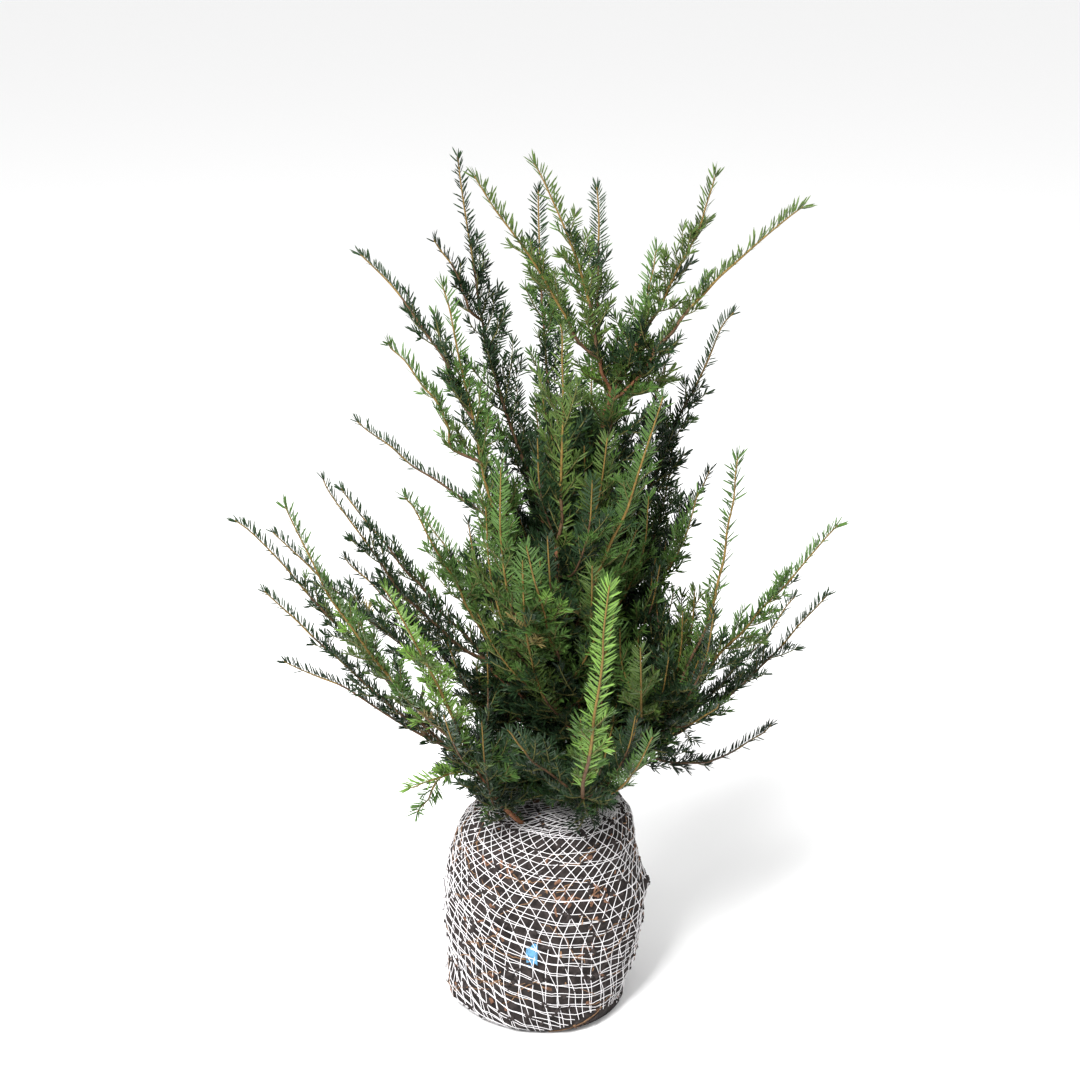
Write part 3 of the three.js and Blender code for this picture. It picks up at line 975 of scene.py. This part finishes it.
# How far a needle bends towards the shoot's tip and down, as a share of its length.
NEEDLE_BEND = 0.10
# How much longer the needles of a well lit leading shoot are.
LUSH_NEEDLES = 1.25


def stations(shoots, step):
    """Every place on these shoots that bears a needle.

    For each: its point, its direction, its share of the length, its distance to the shoot's end, and its
    needle's size.
    """
    points, tangents, shares, ends, sizes = [], [], [], [], []
    for shoot in shoots:
        first, last = (share * shoot.length for share in shoot.leafy)
        spot = np.arange(first + 0.3 * step, last - 0.005, step * (0.80 if shoot.order < 1 else 1.05))
        spot = np.append(spot, np.arange(max(last - 0.005, 0.0), last, 0.4 * step))
        here = along(shoot.path, spot)
        tangent = unit(along(shoot.path, spot + 0.002) - along(shoot.path, spot - 0.002))
        points.append(here)
        tangents.append(tangent)
        shares.append(spot / shoot.length)
        ends.append(shoot.length - spot)
        lush = shoot.order == 0 and shoot.tint not in ("deep", "dark")
        sizes.append(np.full(len(spot), LUSH_NEEDLES if lush else 1.0))
    return [np.concatenate(rows) for rows in (points, tangents, shares, ends, sizes)]


def needle_arrays(shoots, rng, settings):
    """Vertices and faces of all the needles on these shoots."""
    points, tangents, shares, ends, sizes = stations(shoots, settings.needle_step)
    count = len(points)
    upper = upper_side(points, tangents)
    side = np.cross(tangents, upper)
    level = np.linalg.norm(tangents[:, :2], axis=1)
    hand = np.where(np.arange(count) % 2, 1.0, -1.0)
    rise = np.radians(12 + 34 * level + rng.normal(0, 24, count))
    rise = np.where(ends < 0.005, rng.uniform(-1.6, 1.6, count), rise)
    fork = np.radians(rng.normal(56, 8, count))
    fork *= 0.42 + 0.58 * np.clip(ends / 0.014, 0, 1)
    row = (np.cos(rise) * hand)[:, None] * side + np.sin(rise)[:, None] * upper
    heading = unit(np.cos(fork)[:, None] * tangents + np.sin(fork)[:, None] * row)
    face = unit(-(np.sin(rise) * hand)[:, None] * side + np.cos(rise)[:, None] * upper)
    face = unit(face + rng.normal(0, 0.22, (count, 3)))
    across = unit(np.cross(heading, face))
    face = np.cross(across, heading)
    reach = settings.needle_length * sizes * rng.uniform(0.82, 1.10, count)
    reach *= np.clip(0.80 + ends / 0.06, 0, 1) * np.clip(0.6 + shares / 0.15, 0, 1)
    width = settings.needle_width * sizes**0.6 * rng.uniform(0.85, 1.1, count)
    lengthwise, crosswise, lift = NEEDLE_POINTS.T
    vertices = (
        points[:, None]
        + (reach[:, None] * lengthwise)[..., None] * heading[:, None]
        + (width[:, None] * crosswise)[..., None] * across[:, None]
        + (width[:, None] * lift)[..., None] * face[:, None]
        + (NEEDLE_BEND * reach[:, None] * lengthwise**2)[..., None] * (tangents - 0.5 * face)[:, None]
    )
    faces = NEEDLE_FACES + len(NEEDLE_POINTS) * np.arange(count)[:, None, None]
    return vertices.reshape(-1, 3), faces.reshape(-1, 3)


# ---- Soil and net -------------------------------------------------------------------------------


class BallShape:
    """The root ball's smooth shape, read from its solid: its radius round it at any height."""

    COLUMNS = 300
    ROWS = 130

    def __init__(self):
        self.height = BALL_TOP
        tree = surface_tree(*node_points(BALL_NODE))
        turns = np.linspace(0, 2 * math.pi, 72, endpoint=False)
        heights = np.linspace(0.0005, self.height - 0.0005, 90)
        radius = np.empty((len(heights), len(turns)))
        for i, z in enumerate(heights):
            for j, turn in enumerate(turns):
                hit = tree.ray_cast(Vector((0, 0, z)), Vector((math.cos(turn), math.sin(turn), 0)))
                radius[i, j] = hit[3]
        waves = np.fft.rfft(radius, axis=1)
        waves[:, 6:] = 0
        radius = np.fft.irfft(waves, len(turns), axis=1)
        kernel = np.hanning(9)[1:-1]
        padded = np.pad(radius, ((3, 3), (0, 0)), mode="edge")
        blurred = sum(k * padded[i : i + len(heights)] for i, k in enumerate(kernel / kernel.sum()))
        edge = np.clip(np.minimum(heights, self.height - heights) / 0.01, 0, 1)[:, None]
        self.turns, self.heights = turns, heights
        self.table = edge * blurred + (1 - edge) * radius

    def radius(self, turn, z):
        """Radius at angles round the ball and heights up it."""
        row = np.interp(z, self.heights, np.arange(len(self.heights)))
        column = (turn % (2 * math.pi)) / (2 * math.pi) * len(self.turns)
        r0, c0 = np.floor(row).astype(int), np.floor(column).astype(int)
        r1 = np.minimum(r0 + 1, len(self.heights) - 1)
        fr, fc = row - r0, column - c0
        c0, c1 = c0 % len(self.turns), (c0 + 1) % len(self.turns)
        low = self.table[r0, c0] * (1 - fc) + self.table[r0, c1] * fc
        high = self.table[r1, c0] * (1 - fc) + self.table[r1, c1] * fc
        return low * (1 - fr) + high * fr


def rounded(points, scale, seed):
    """Smooth noise from -1 to 1 at each point, for lumps of about this size."""
    shift = Vector((seed * 11.3, seed * 5.7, seed * 3.1))
    return np.array([noise.noise(Vector(p) / scale + shift) for p in points])


# Where the soil swells out or is worn away: direction round the ball in degrees, height, width in degrees,
# tallness, and rise.
SOIL_SWELLS = (
    (-2, 0.148, 9, 0.013, 0.008),
    (-166, 0.018, 34, 0.016, 0.004),
    (-170, 0.062, 34, 0.030, -0.005),
    (-8, 0.020, 36, 0.036, -0.012),
    (-8, 0.200, 30, 0.032, -0.005),
    (-62, 0.022, 20, 0.014, 0.003),
    (105, 0.080, 30, 0.040, -0.005),
    (60, 0.170, 26, 0.030, 0.005),
    (150, 0.120, 24, 0.030, 0.004),
)


def soil_surface(ball, settings):
    """The soil's vertices and faces: flat below, lumpy round its side and over its top."""
    columns, rows, caps = ball.COLUMNS, ball.ROWS, 34
    turns = np.linspace(0, 2 * math.pi, columns, endpoint=False)
    rings, weights = [], []
    for share in np.linspace(0.04, 1, 6)[:-1]:
        rings.append(on_ring(turns, ball.radius(turns, np.zeros(columns)) * share, 0.0))
        weights.append(np.zeros(columns))
    for z in np.linspace(0, ball.height, rows):
        rings.append(on_ring(turns, ball.radius(turns, np.full(columns, z)), z))
        weights.append(np.full(columns, min(1, z / 0.012)))
    rim = rings[-1]
    trunk_foot = np.array(plant()[0][0].path[0])
    for share in np.linspace(1, 0.03, caps)[1:]:
        ring = trunk_foot * (1 - share) + rim * share
        ring[:, 2] = ball.height + 0.004 * (1 - share)
        rings.append(ring)
        weights.append(np.full(columns, 0.8))
    base = np.concatenate(rings)
    weight = np.concatenate(weights)
    outward = unit(base * (1, 1, 0) + UP * np.where(base[:, 2] > ball.height - 0.012, 0.09, 0.0)[:, None])
    swell = settings.lump * rounded(base, 0.030, settings.seed)
    swell += settings.clod * rounded(base, 0.011, settings.seed + 1)
    swell += 0.5 * settings.clod * rounded(base, 0.005, settings.seed + 2)
    turn = np.degrees(np.arctan2(base[:, 1], base[:, 0]))
    for at, height, wide, tall, rise in SOIL_SWELLS:
        aside, above = degrees_off(turn, at) / wide, (base[:, 2] - height) / tall
        swell += rise * np.exp(-(aside**2) - above**2)
    vertices = base + outward * (swell * weight)[:, None]
    count = len(rings)
    faces = []
    for i in range(count - 1):
        a = i * columns + np.arange(columns)
        b = i * columns + (np.arange(columns) + 1) % columns
        faces.append(np.column_stack([a, b, b + columns, a + columns]))
    faces = np.concatenate(faces)
    closing = np.array([[0, 0, 0], trunk_foot * (1, 1, 0) + UP * (ball.height + 0.004)])
    bottom, top = len(vertices), len(vertices) + 1
    ring = np.arange(columns)
    last = (count - 1) * columns
    low_fan = np.column_stack([np.full(columns, bottom), (ring + 1) % columns, ring])
    high_fan = np.column_stack([np.full(columns, top), last + ring, last + (ring + 1) % columns])
    triangles = np.concatenate([faces[:, [0, 1, 2]], faces[:, [0, 2, 3]], low_fan, high_fan])
    return np.vstack([vertices, closing]), triangles


class NetLayout:
    """Where the net's yarns run over the soil."""

    FINE = 0.0042

    def __init__(self, soil_points, soil_faces, ball, settings):
        self.tree = surface_tree(soil_points, soil_faces)
        self.ball = ball
        self.settings = settings
        self.heart = Vector((0, 0, ball.height / 2))
        foot = plant()[0][0].path
        self.neck = foot[np.argmin(abs(foot[:, 2] - ball.height))] * (1, 1, 0) + UP * ball.height
        self.reach = ball.height + ball.radius(np.zeros(1), np.full(1, ball.height))[0]

    def spot(self, turn, run):
        """The smooth place of a yarn: run is the distance up the side and then in over the top."""
        settings, ball = self.settings, self.ball
        z = np.clip(run, 0.001, ball.height)
        rim = on_ring(turn, ball.radius(turn, z), z)
        inward = np.clip((run - ball.height) / (self.reach - ball.height), 0, 1)[:, None]
        collar = self.neck + on_ring(turn, settings.gather, 0.0)
        return rim * (1 - inward) + collar * inward

    def laid(self, turn, run):
        """A yarn's points laid on the soil, drawn tight over its hollows."""
        spots = self.spot(turn, run)
        heart = np.array(self.heart)
        directions = unit(spots - heart)
        depth = np.empty(len(spots))
        for i, direction in enumerate(directions):
            hit = self.tree.ray_cast(self.heart, Vector(direction))
            depth[i] = hit[3] if hit[3] else np.linalg.norm(spots[i] - heart)
        padded = np.pad(depth, 2, mode="edge")
        drawn = (padded[:-4] + padded[1:-3] + padded[2:-2] + padded[3:-1] + padded[4:]) / 5
        points = heart + directions * (np.maximum(depth, drawn) + 1.2 * self.settings.yarn)[:, None]
        points[:, 2] = np.maximum(points[:, 2], 1.2 * self.settings.yarn)
        return points

    def uprights(self, count, twist, wobble, rng):
        """Yarns that climb the side and are drawn in round the trunk, turned by twist on the way."""
        lines = []
        top = self.reach
        for i in range(count):
            start = 2 * math.pi * i / count + rng.normal(0, 0.012)
            run = np.arange(float(self.bare(start)) - 0.002, top, self.FINE)
            sway = wobble * np.sin(run * 70 + 3 * start) + 0.5 * wobble * np.sin(run * 160 + 7 * start)
            lines.append(self.laid(start + twist(run / self.ball.height) + sway, run))
        return lines

    @staticmethod
    def bare(turn):
        """How far up from the floor the soil stays bare of yarn: furthest low at the front."""
        return 0.002 + 0.026 * np.exp(-((degrees_off(np.degrees(turn), -58) / 24) ** 2))

    def rings(self, first, step, tilt, toward, loose, rng):
        """Yarns that run round the ball, pulled up on one side, and closer together over the shoulder."""
        lines = []
        run = first
        while run < self.reach - 0.012:
            turn = toward + np.arange(0, 2 * math.pi + 0.03, self.FINE / BALL_RADIUS)
            sway = 0.0011 * np.sin(5 * turn + run * 300) + 0.0007 * np.sin(13 * turn + run * 900)
            pull = tilt * ((1 + np.cos(turn - toward)) / 2) ** 2 * np.clip(1.3 - run / self.ball.height, 0, 1)
            place = run + pull + sway
            laid = place > self.bare(turn)
            for part in np.split(np.arange(len(turn)), np.flatnonzero(np.diff(laid)) + 1):
                if len(part) > 3 and laid[part[0]]:
                    lines.append(self.laid(turn[part], np.minimum(place[part], self.reach - 0.004)))
            share = np.interp(run / self.ball.height, (0.40, 0.55, 0.96, 1.12), (1.0, loose, loose, 0.7))
            run += step * share * rng.uniform(0.88, 1.12)
        return lines


def crumpled_scrap(layout, turn, run, wide, tall):
    """A small crumpled sheet lying on the soil under the net."""
    across, up = 9, 15
    u, v = np.meshgrid(np.linspace(-0.5, 0.5, across), np.linspace(-0.5, 0.5, up))
    ragged = 1 + 0.35 * np.sin(5 * v + 1.0) * np.cos(3 * u)
    turns = turn + (u * wide * ragged / BALL_RADIUS).ravel()
    runs = run + (v * tall + 0.10 * tall * np.sin(6 * u)).ravel()
    points = layout.laid(turns, runs)
    points += unit(points * (1, 1, 0)) * (0.0006 * np.sin(9 * u.ravel() + 7 * v.ravel()))[:, None]
    corner = (np.arange(up - 1)[:, None] * across + np.arange(across - 1)).ravel()
    return points, np.column_stack([corner, corner + 1, corner + across + 1, corner + across])


# ---- Operators ----------------------------------------------------------------------------------


class YEW_OT_soil(Operator):
    """Shape the root ball's soil"""

    bl_idname = "yew.soil"
    bl_label = "Soil"

    def execute(self, context):
        grown.clear()
        ball = BallShape()
        points, faces = soil_surface(ball, context.scene.yew_ball)
        soil = mesh_piece("root_ball_soil", points, faces)
        soil.data.materials.append(grained("soil", "soil", context.scene.yew_colours.soil))
        grown["ball"], grown["soil"] = ball, (points, faces)
        hand_over(soil, "soil", BALL_NODE)
        return {"FINISHED"}


class YEW_OT_chips(Operator):
    """Scatter bark chips and roots over the soil, and the scrap among them"""

    bl_idname = "yew.chips"
    bl_label = "Chips and roots"

    # Where the chips lie thickest: direction round the ball in degrees, and height.
    CLUSTERS = (
        (-80, 0.183), (-56, 0.171), (-120, 0.212), (-64, 0.120), (25, 0.140), (95, 0.190), (170, 0.090)
    )
    CLUSTER_WIDTH, CLUSTER_HEIGHT, CLUSTER_REACH = 9, 0.014, 1.6
    ROOT_COUNT = 110

    def execute(self, context):
        settings, colours = context.scene.yew_ball, context.scene.yew_colours
        points, faces = earlier("soil", "Soil")
        side = faces[(points[faces][:, :, 2].min(axis=1) > 0.004)]
        source = mesh_piece("soil_side", points, side)
        middle = points[side].mean(axis=1)
        turn = np.degrees(np.arctan2(middle[:, 1], middle[:, 0]))
        wide, tall = self.CLUSTER_WIDTH, self.CLUSTER_HEIGHT
        rise = middle[:, 2]
        far = [abs(degrees_off(turn, at)) / wide + abs(rise - high) / tall for at, high in self.CLUSTERS]
        patches = mesh_piece("chip_patches", points, side[np.min(far, axis=0) < self.CLUSTER_REACH])
        tree = scatter_tree()
        kinds = [
            (source, "bark_chips", colours.chip, 700.0, (0.0080, 0.0028, 0.0014)),
            (source, "pale_chips", shade(colours.root, 1.5), 260.0, (0.0060, 0.0016, 0.0010)),
            (source, "dark_crumbs", shade(colours.soil, 1.6), 3200.0, (0.0050, 0.0042, 0.0030)),
            (patches, "chip_clusters", shade(colours.chip, 1.25), 9000.0, (0.0095, 0.0021, 0.0012)),
        ]
        for i, (ground, name, base, density, size) in enumerate(kinds):
            finish, seed = grained("chip", name, base), settings.seed + i
            piece = run_tree(ground, tree, name, density=density, chip_size=size, seed=seed, finish=finish)
            hand_over(piece, "soil")
        bpy.data.objects.remove(source)
        bpy.data.objects.remove(patches)
        layout = NetLayout(points, faces, grown["ball"], settings)
        grown["layout"] = layout
        self.lay_roots(layout, settings, colours)
        self.lay_scrap(layout, colours)
        return {"FINISHED"}

    def lay_roots(self, layout, settings, colours):
        """Fine roots that wander over the soil, and one long one low at the front."""
        rng = np.random.default_rng(settings.seed + 20)
        lines, girths = [], []
        for _ in range(self.ROOT_COUNT):
            count = int(rng.integers(7, 22))
            start = rng.uniform(0, 2 * math.pi)
            turn = start + np.cumsum(rng.normal(0.0, 0.014, count) + rng.choice((-1, 1)) * 0.024)
            run = rng.uniform(0.015, 0.245) + np.cumsum(rng.normal(0, 0.0016, count) + rng.normal(0, 0.0016))
            lines.append(layout.laid(turn, np.clip(run, 0.004, 0.25)))
            girths.append(np.linspace(rng.uniform(0.0004, 0.0009), 0.0003, count))
        turn = np.radians(np.linspace(-86, -60, 24))
        lines.append(layout.laid(turn, 0.003 + 0.016 * np.linspace(0, 1, 24) ** 1.5))
        girths.append(np.full(24, 0.0008))
        roots = sweep("fine_roots", lines, girths, grained("chip", "fine_roots", colours.root), sides=5)
        hand_over(roots, "soil")

    @staticmethod
    def lay_scrap(layout, colours):
        """The blue scrap."""
        points, faces = crumpled_scrap(layout, math.radians(-96), 0.114, 0.013, 0.026)
        scrap = mesh_piece("blue_scrap", points, faces)
        scrap.modifiers.new("wall", "SOLIDIFY").thickness = 0.0003
        scrap.data = as_modified(scrap)
        scrap.data.materials.append(grained("scrap", "blue_scrap", colours.scrap))
        hand_over(scrap, "soil")


class YEW_OT_net(Operator):
    """Knit the two layers of the net over the soil and draw them in round the trunk"""

    bl_idname = "yew.net"
    bl_label = "Net"

    # How the climbing yarns of each layer lean, in degrees, at some shares of the ball's height.
    RIGHT_LEAN = ((0.0, 0.3, 0.5, 0.65, 0.8, 0.92, 1.0, 1.15), (-10, -3, 14, 26, 45, 63, 70, 0))
    LEFT_LEAN = ((0.0, 0.3, 0.5, 0.7, 0.85, 1.0, 1.15), (-7, -17, -27, -33, -40, -52, 0))
    # The level yarns of each layer: where they begin, their share of the ring height, how far they are pulled
    # up and in which direction in degrees, and how much further apart they lie over the upper half.
    RINGS = ((-0.070, 1.0, 0.075, 178, 1.1), (-0.084, 1.04, 0.082, -176, 1.9))
    # How many climbing yarns the second layer has for each one of the first.
    SECOND_SHARE = 0.74

    def execute(self, context):
        settings = context.scene.yew_ball
        rng = np.random.default_rng(settings.seed + 40)
        layout = earlier("layout", "Chips and roots")
        count = round(2 * math.pi * BALL_RADIUS / settings.mesh)
        lines = layout.uprights(count, self.twist(*self.RIGHT_LEAN), 0.007, rng)
        lines += layout.uprights(round(count * self.SECOND_SHARE), self.twist(*self.LEFT_LEAN), 0.010, rng)
        for first, share, tilt, toward, loose in self.RINGS:
            lines += layout.rings(first, settings.ring * share, tilt, math.radians(toward), loose, rng)
        girths = [np.full(len(line), settings.yarn) for line in lines]
        finish = grained("yarn", "net_yarn", context.scene.yew_colours.yarn)
        net = sweep("net", lines, girths, finish, sides=4)
        hand_over(net, "soil")
        return {"FINISHED"}

    @staticmethod
    def twist(rises, leans):
        """How far round a yarn has turned at each height, from its lean in degrees at a few heights."""
        fine = np.linspace(0, 1.6, 200)
        slope = 2.1 * np.tan(np.radians(np.interp(fine, rises, leans)))
        turned = np.cumsum(slope) * (fine[1] - fine[0])
        return lambda rise: np.interp(rise, fine, turned)


class YEW_OT_limbs(Operator):
    """Raise the trunk and its boughs, with their bark"""

    bl_idname = "yew.limbs"
    bl_label = "Trunk and boughs"

    def execute(self, context):
        settings, colours = context.scene.yew_shoots, context.scene.yew_colours
        trunk, *boughs = plant()[0]
        finish = grained("bark", "flaking_bark", colours.bark)
        spots = np.linspace(0, trunk.length, len(trunk.path))
        girth, relief = trunk.thickness(spots), 2.2 * settings.bark_relief
        piece = sweep("trunk_bark", [trunk.path], [girth], finish, sides=22, relief=relief)
        hand_over(piece, "bark", TRUNK_NODE)
        lines, girths = zip(*((bough.path, bough.taper()) for bough in boughs))
        piece = sweep("bough_bark", lines, girths, finish, sides=12, relief=settings.bark_relief, grain=260.0)
        hand_over(piece, "bark", *BOUGH_NODES)
        return {"FINISHED"}


class YEW_OT_stems(Operator):
    """Sweep the stems of the leading shoots, side shoots and twigs"""

    bl_idname = "yew.stems"
    bl_label = "Shoot stems"

    # How much of a leading shoot has old bark, where its needles are dull and where they are bright.
    DULL_SHARE, BRIGHT_SHARE = 0.72, 0.30

    def execute(self, context):
        colours = context.scene.yew_colours
        _, leaders, shoots = plant()
        old, golden = [], []
        for leader in leaders:
            girth = leader.taper()
            share = self.DULL_SHARE if leader.tint in ("deep", "dark") else self.BRIGHT_SHARE
            split = max(2, int(len(leader.path) * share))
            old.append((leader.path[:split], girth[:split]))
            golden.append((leader.path[split - 1 :], girth[split - 1 :]))
        young = [(shoot.path, shoot.taper()) for shoot in shoots]
        kinds = (
            ("old_stems", colours.old, old, 7, 0.0005),
            ("golden_stems", colours.golden, golden, 6, 0.0),
            ("young_stems", colours.young, young, 4, 0.0),
        )
        for name, base, stems, sides, relief in kinds:
            lines, girths = zip(*stems)
            piece = sweep(name, lines, girths, grained("shoot", name, base), sides, relief, grain=300.0)
            hand_over(piece, "bark")
        return {"FINISHED"}


class YEW_OT_needles(Operator):
    """Grow the needles of every shoot, joined by the tint of their spray"""

    bl_idname = "yew.needles"
    bl_label = "Needles"

    MOST_FACES = 190000

    def execute(self, context):
        settings, colours = context.scene.yew_shoots, context.scene.yew_colours
        rng = np.random.default_rng(settings.seed + 60)
        wood, leaders, shoots = plant()
        for tint in TINTS:
            masses = [name for name in MASS_NODES if main_tint(name) == tint]
            chosen = [shoot for shoot in wood[1:] + leaders + shoots if shoot.tint == tint]
            points, faces = needle_arrays(chosen, rng, settings)
            # Each tint is one plain colour; the dark one, nearly black, is painted shade.
            finish = plain_finish(f"{tint}_needles", getattr(colours, tint), 0.36, 0.2)
            parts = math.ceil(len(faces) / self.MOST_FACES)
            per_part = len(NEEDLE_FACES) * math.ceil(len(faces) / len(NEEDLE_FACES) / parts)
            for i in range(parts):
                some = faces[i * per_part : (i + 1) * per_part]
                first = some.min()
                name = f"needles_{tint}_{i + 1}"
                piece = mesh_piece(name, points[first : some.max() + 1], some - first, smooth=False)
                piece.data.materials.append(finish)
                hand_over(piece, "needles", *masses[i::parts])
        return {"FINISHED"}


class YEW_OT_stage(Operator):
    """Set out the floor, the light and the camera"""

    bl_idname = "yew.stage"
    bl_label = "Stage"

    LAMP_SIZE = 1.3
    LAMP_PLACE, LAMP_AIM = Vector((-1.0, -1.7, 2.7)), Vector((0.0, 0.0, 0.55))
    FLOOR_REACH = 20

    def execute(self, context):
        stage, colours = context.scene.yew_stage, context.scene.yew_colours
        far = self.FLOOR_REACH
        corners = [(-far, -far, 0), (far, -far, 0), (far, far, 0), (-far, far, 0)]
        floor = mesh_piece("floor", corners, [(0, 1, 2, 3)], smooth=False)
        floor.data.materials.append(plain_finish("studio_floor", colours.floor, 0.9, 0.5))

        world = bpy.data.worlds.new("studio")
        world.use_nodes = True
        sky = world.node_tree.nodes["Background"]
        sky.inputs["Color"].default_value = (1.0, 1.0, 1.0, 1.0)
        sky.inputs["Strength"].default_value = stage.sky
        context.scene.world = world
        context.scene.view_settings.view_transform = "Standard"

        lamp = bpy.data.lights.new("key", "AREA")
        lamp.energy = stage.key_power
        lamp.size = self.LAMP_SIZE
        key = placed("key", lamp)
        key.location = self.LAMP_PLACE
        key.rotation_euler = (self.LAMP_AIM - self.LAMP_PLACE).to_track_quat("-Z", "Y").to_euler()

        lens = bpy.data.cameras.new("camera")
        lens.lens = stage.lens
        lens.sensor_width = 36.0
        lens.clip_start, lens.clip_end = 0.05, 100.0
        camera = placed("camera", lens)
        camera.location = (-0.003, -stage.camera_back, stage.camera_height)
        camera.rotation_euler = (math.pi / 2 - stage.camera_pitch, 0.0, 0.0)
        context.scene.camera = camera
        return {"FINISHED"}


STEPS = ("soil", "chips", "net", "limbs", "stems", "needles", "stage")


class YEW_PT_sapling(Panel):
    """The steps of the sapling, in order"""

    bl_label = "Yew Sapling"
    bl_idname = "YEW_PT_sapling"
    bl_space_type = "VIEW_3D"
    bl_region_type = "UI"
    bl_category = "Yew Sapling"

    def draw(self, context):
        for group in GROUPS:
            box = self.layout.box()
            settings = getattr(context.scene, group)
            for name in type(settings).__annotations__:
                box.prop(settings, name)
        for step in STEPS:
            self.layout.operator(f"yew.{step}")


GROUPS = {
    "yew_shoots": ShootSettings,
    "yew_ball": BallSettings,
    "yew_colours": ColourSettings,
    "yew_stage": StageSettings,
}
CLASSES = (
    *GROUPS.values(),
    YEW_OT_soil,
    YEW_OT_chips,
    YEW_OT_net,
    YEW_OT_limbs,
    YEW_OT_stems,
    YEW_OT_needles,
    YEW_OT_stage,
    YEW_PT_sapling,
)


def register():
    for item in CLASSES:
        bpy.utils.register_class(item)
    for name, group in GROUPS.items():
        setattr(bpy.types.Scene, name, PointerProperty(type=group))


def unregister():
    for name in GROUPS:
        delattr(bpy.types.Scene, name)
    for item in reversed(CLASSES):
        bpy.utils.unregister_class(item)


def main():
    register()
    for step in STEPS:
        getattr(bpy.ops.yew, step)()
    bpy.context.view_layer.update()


if __name__ == "__main__":
    main()
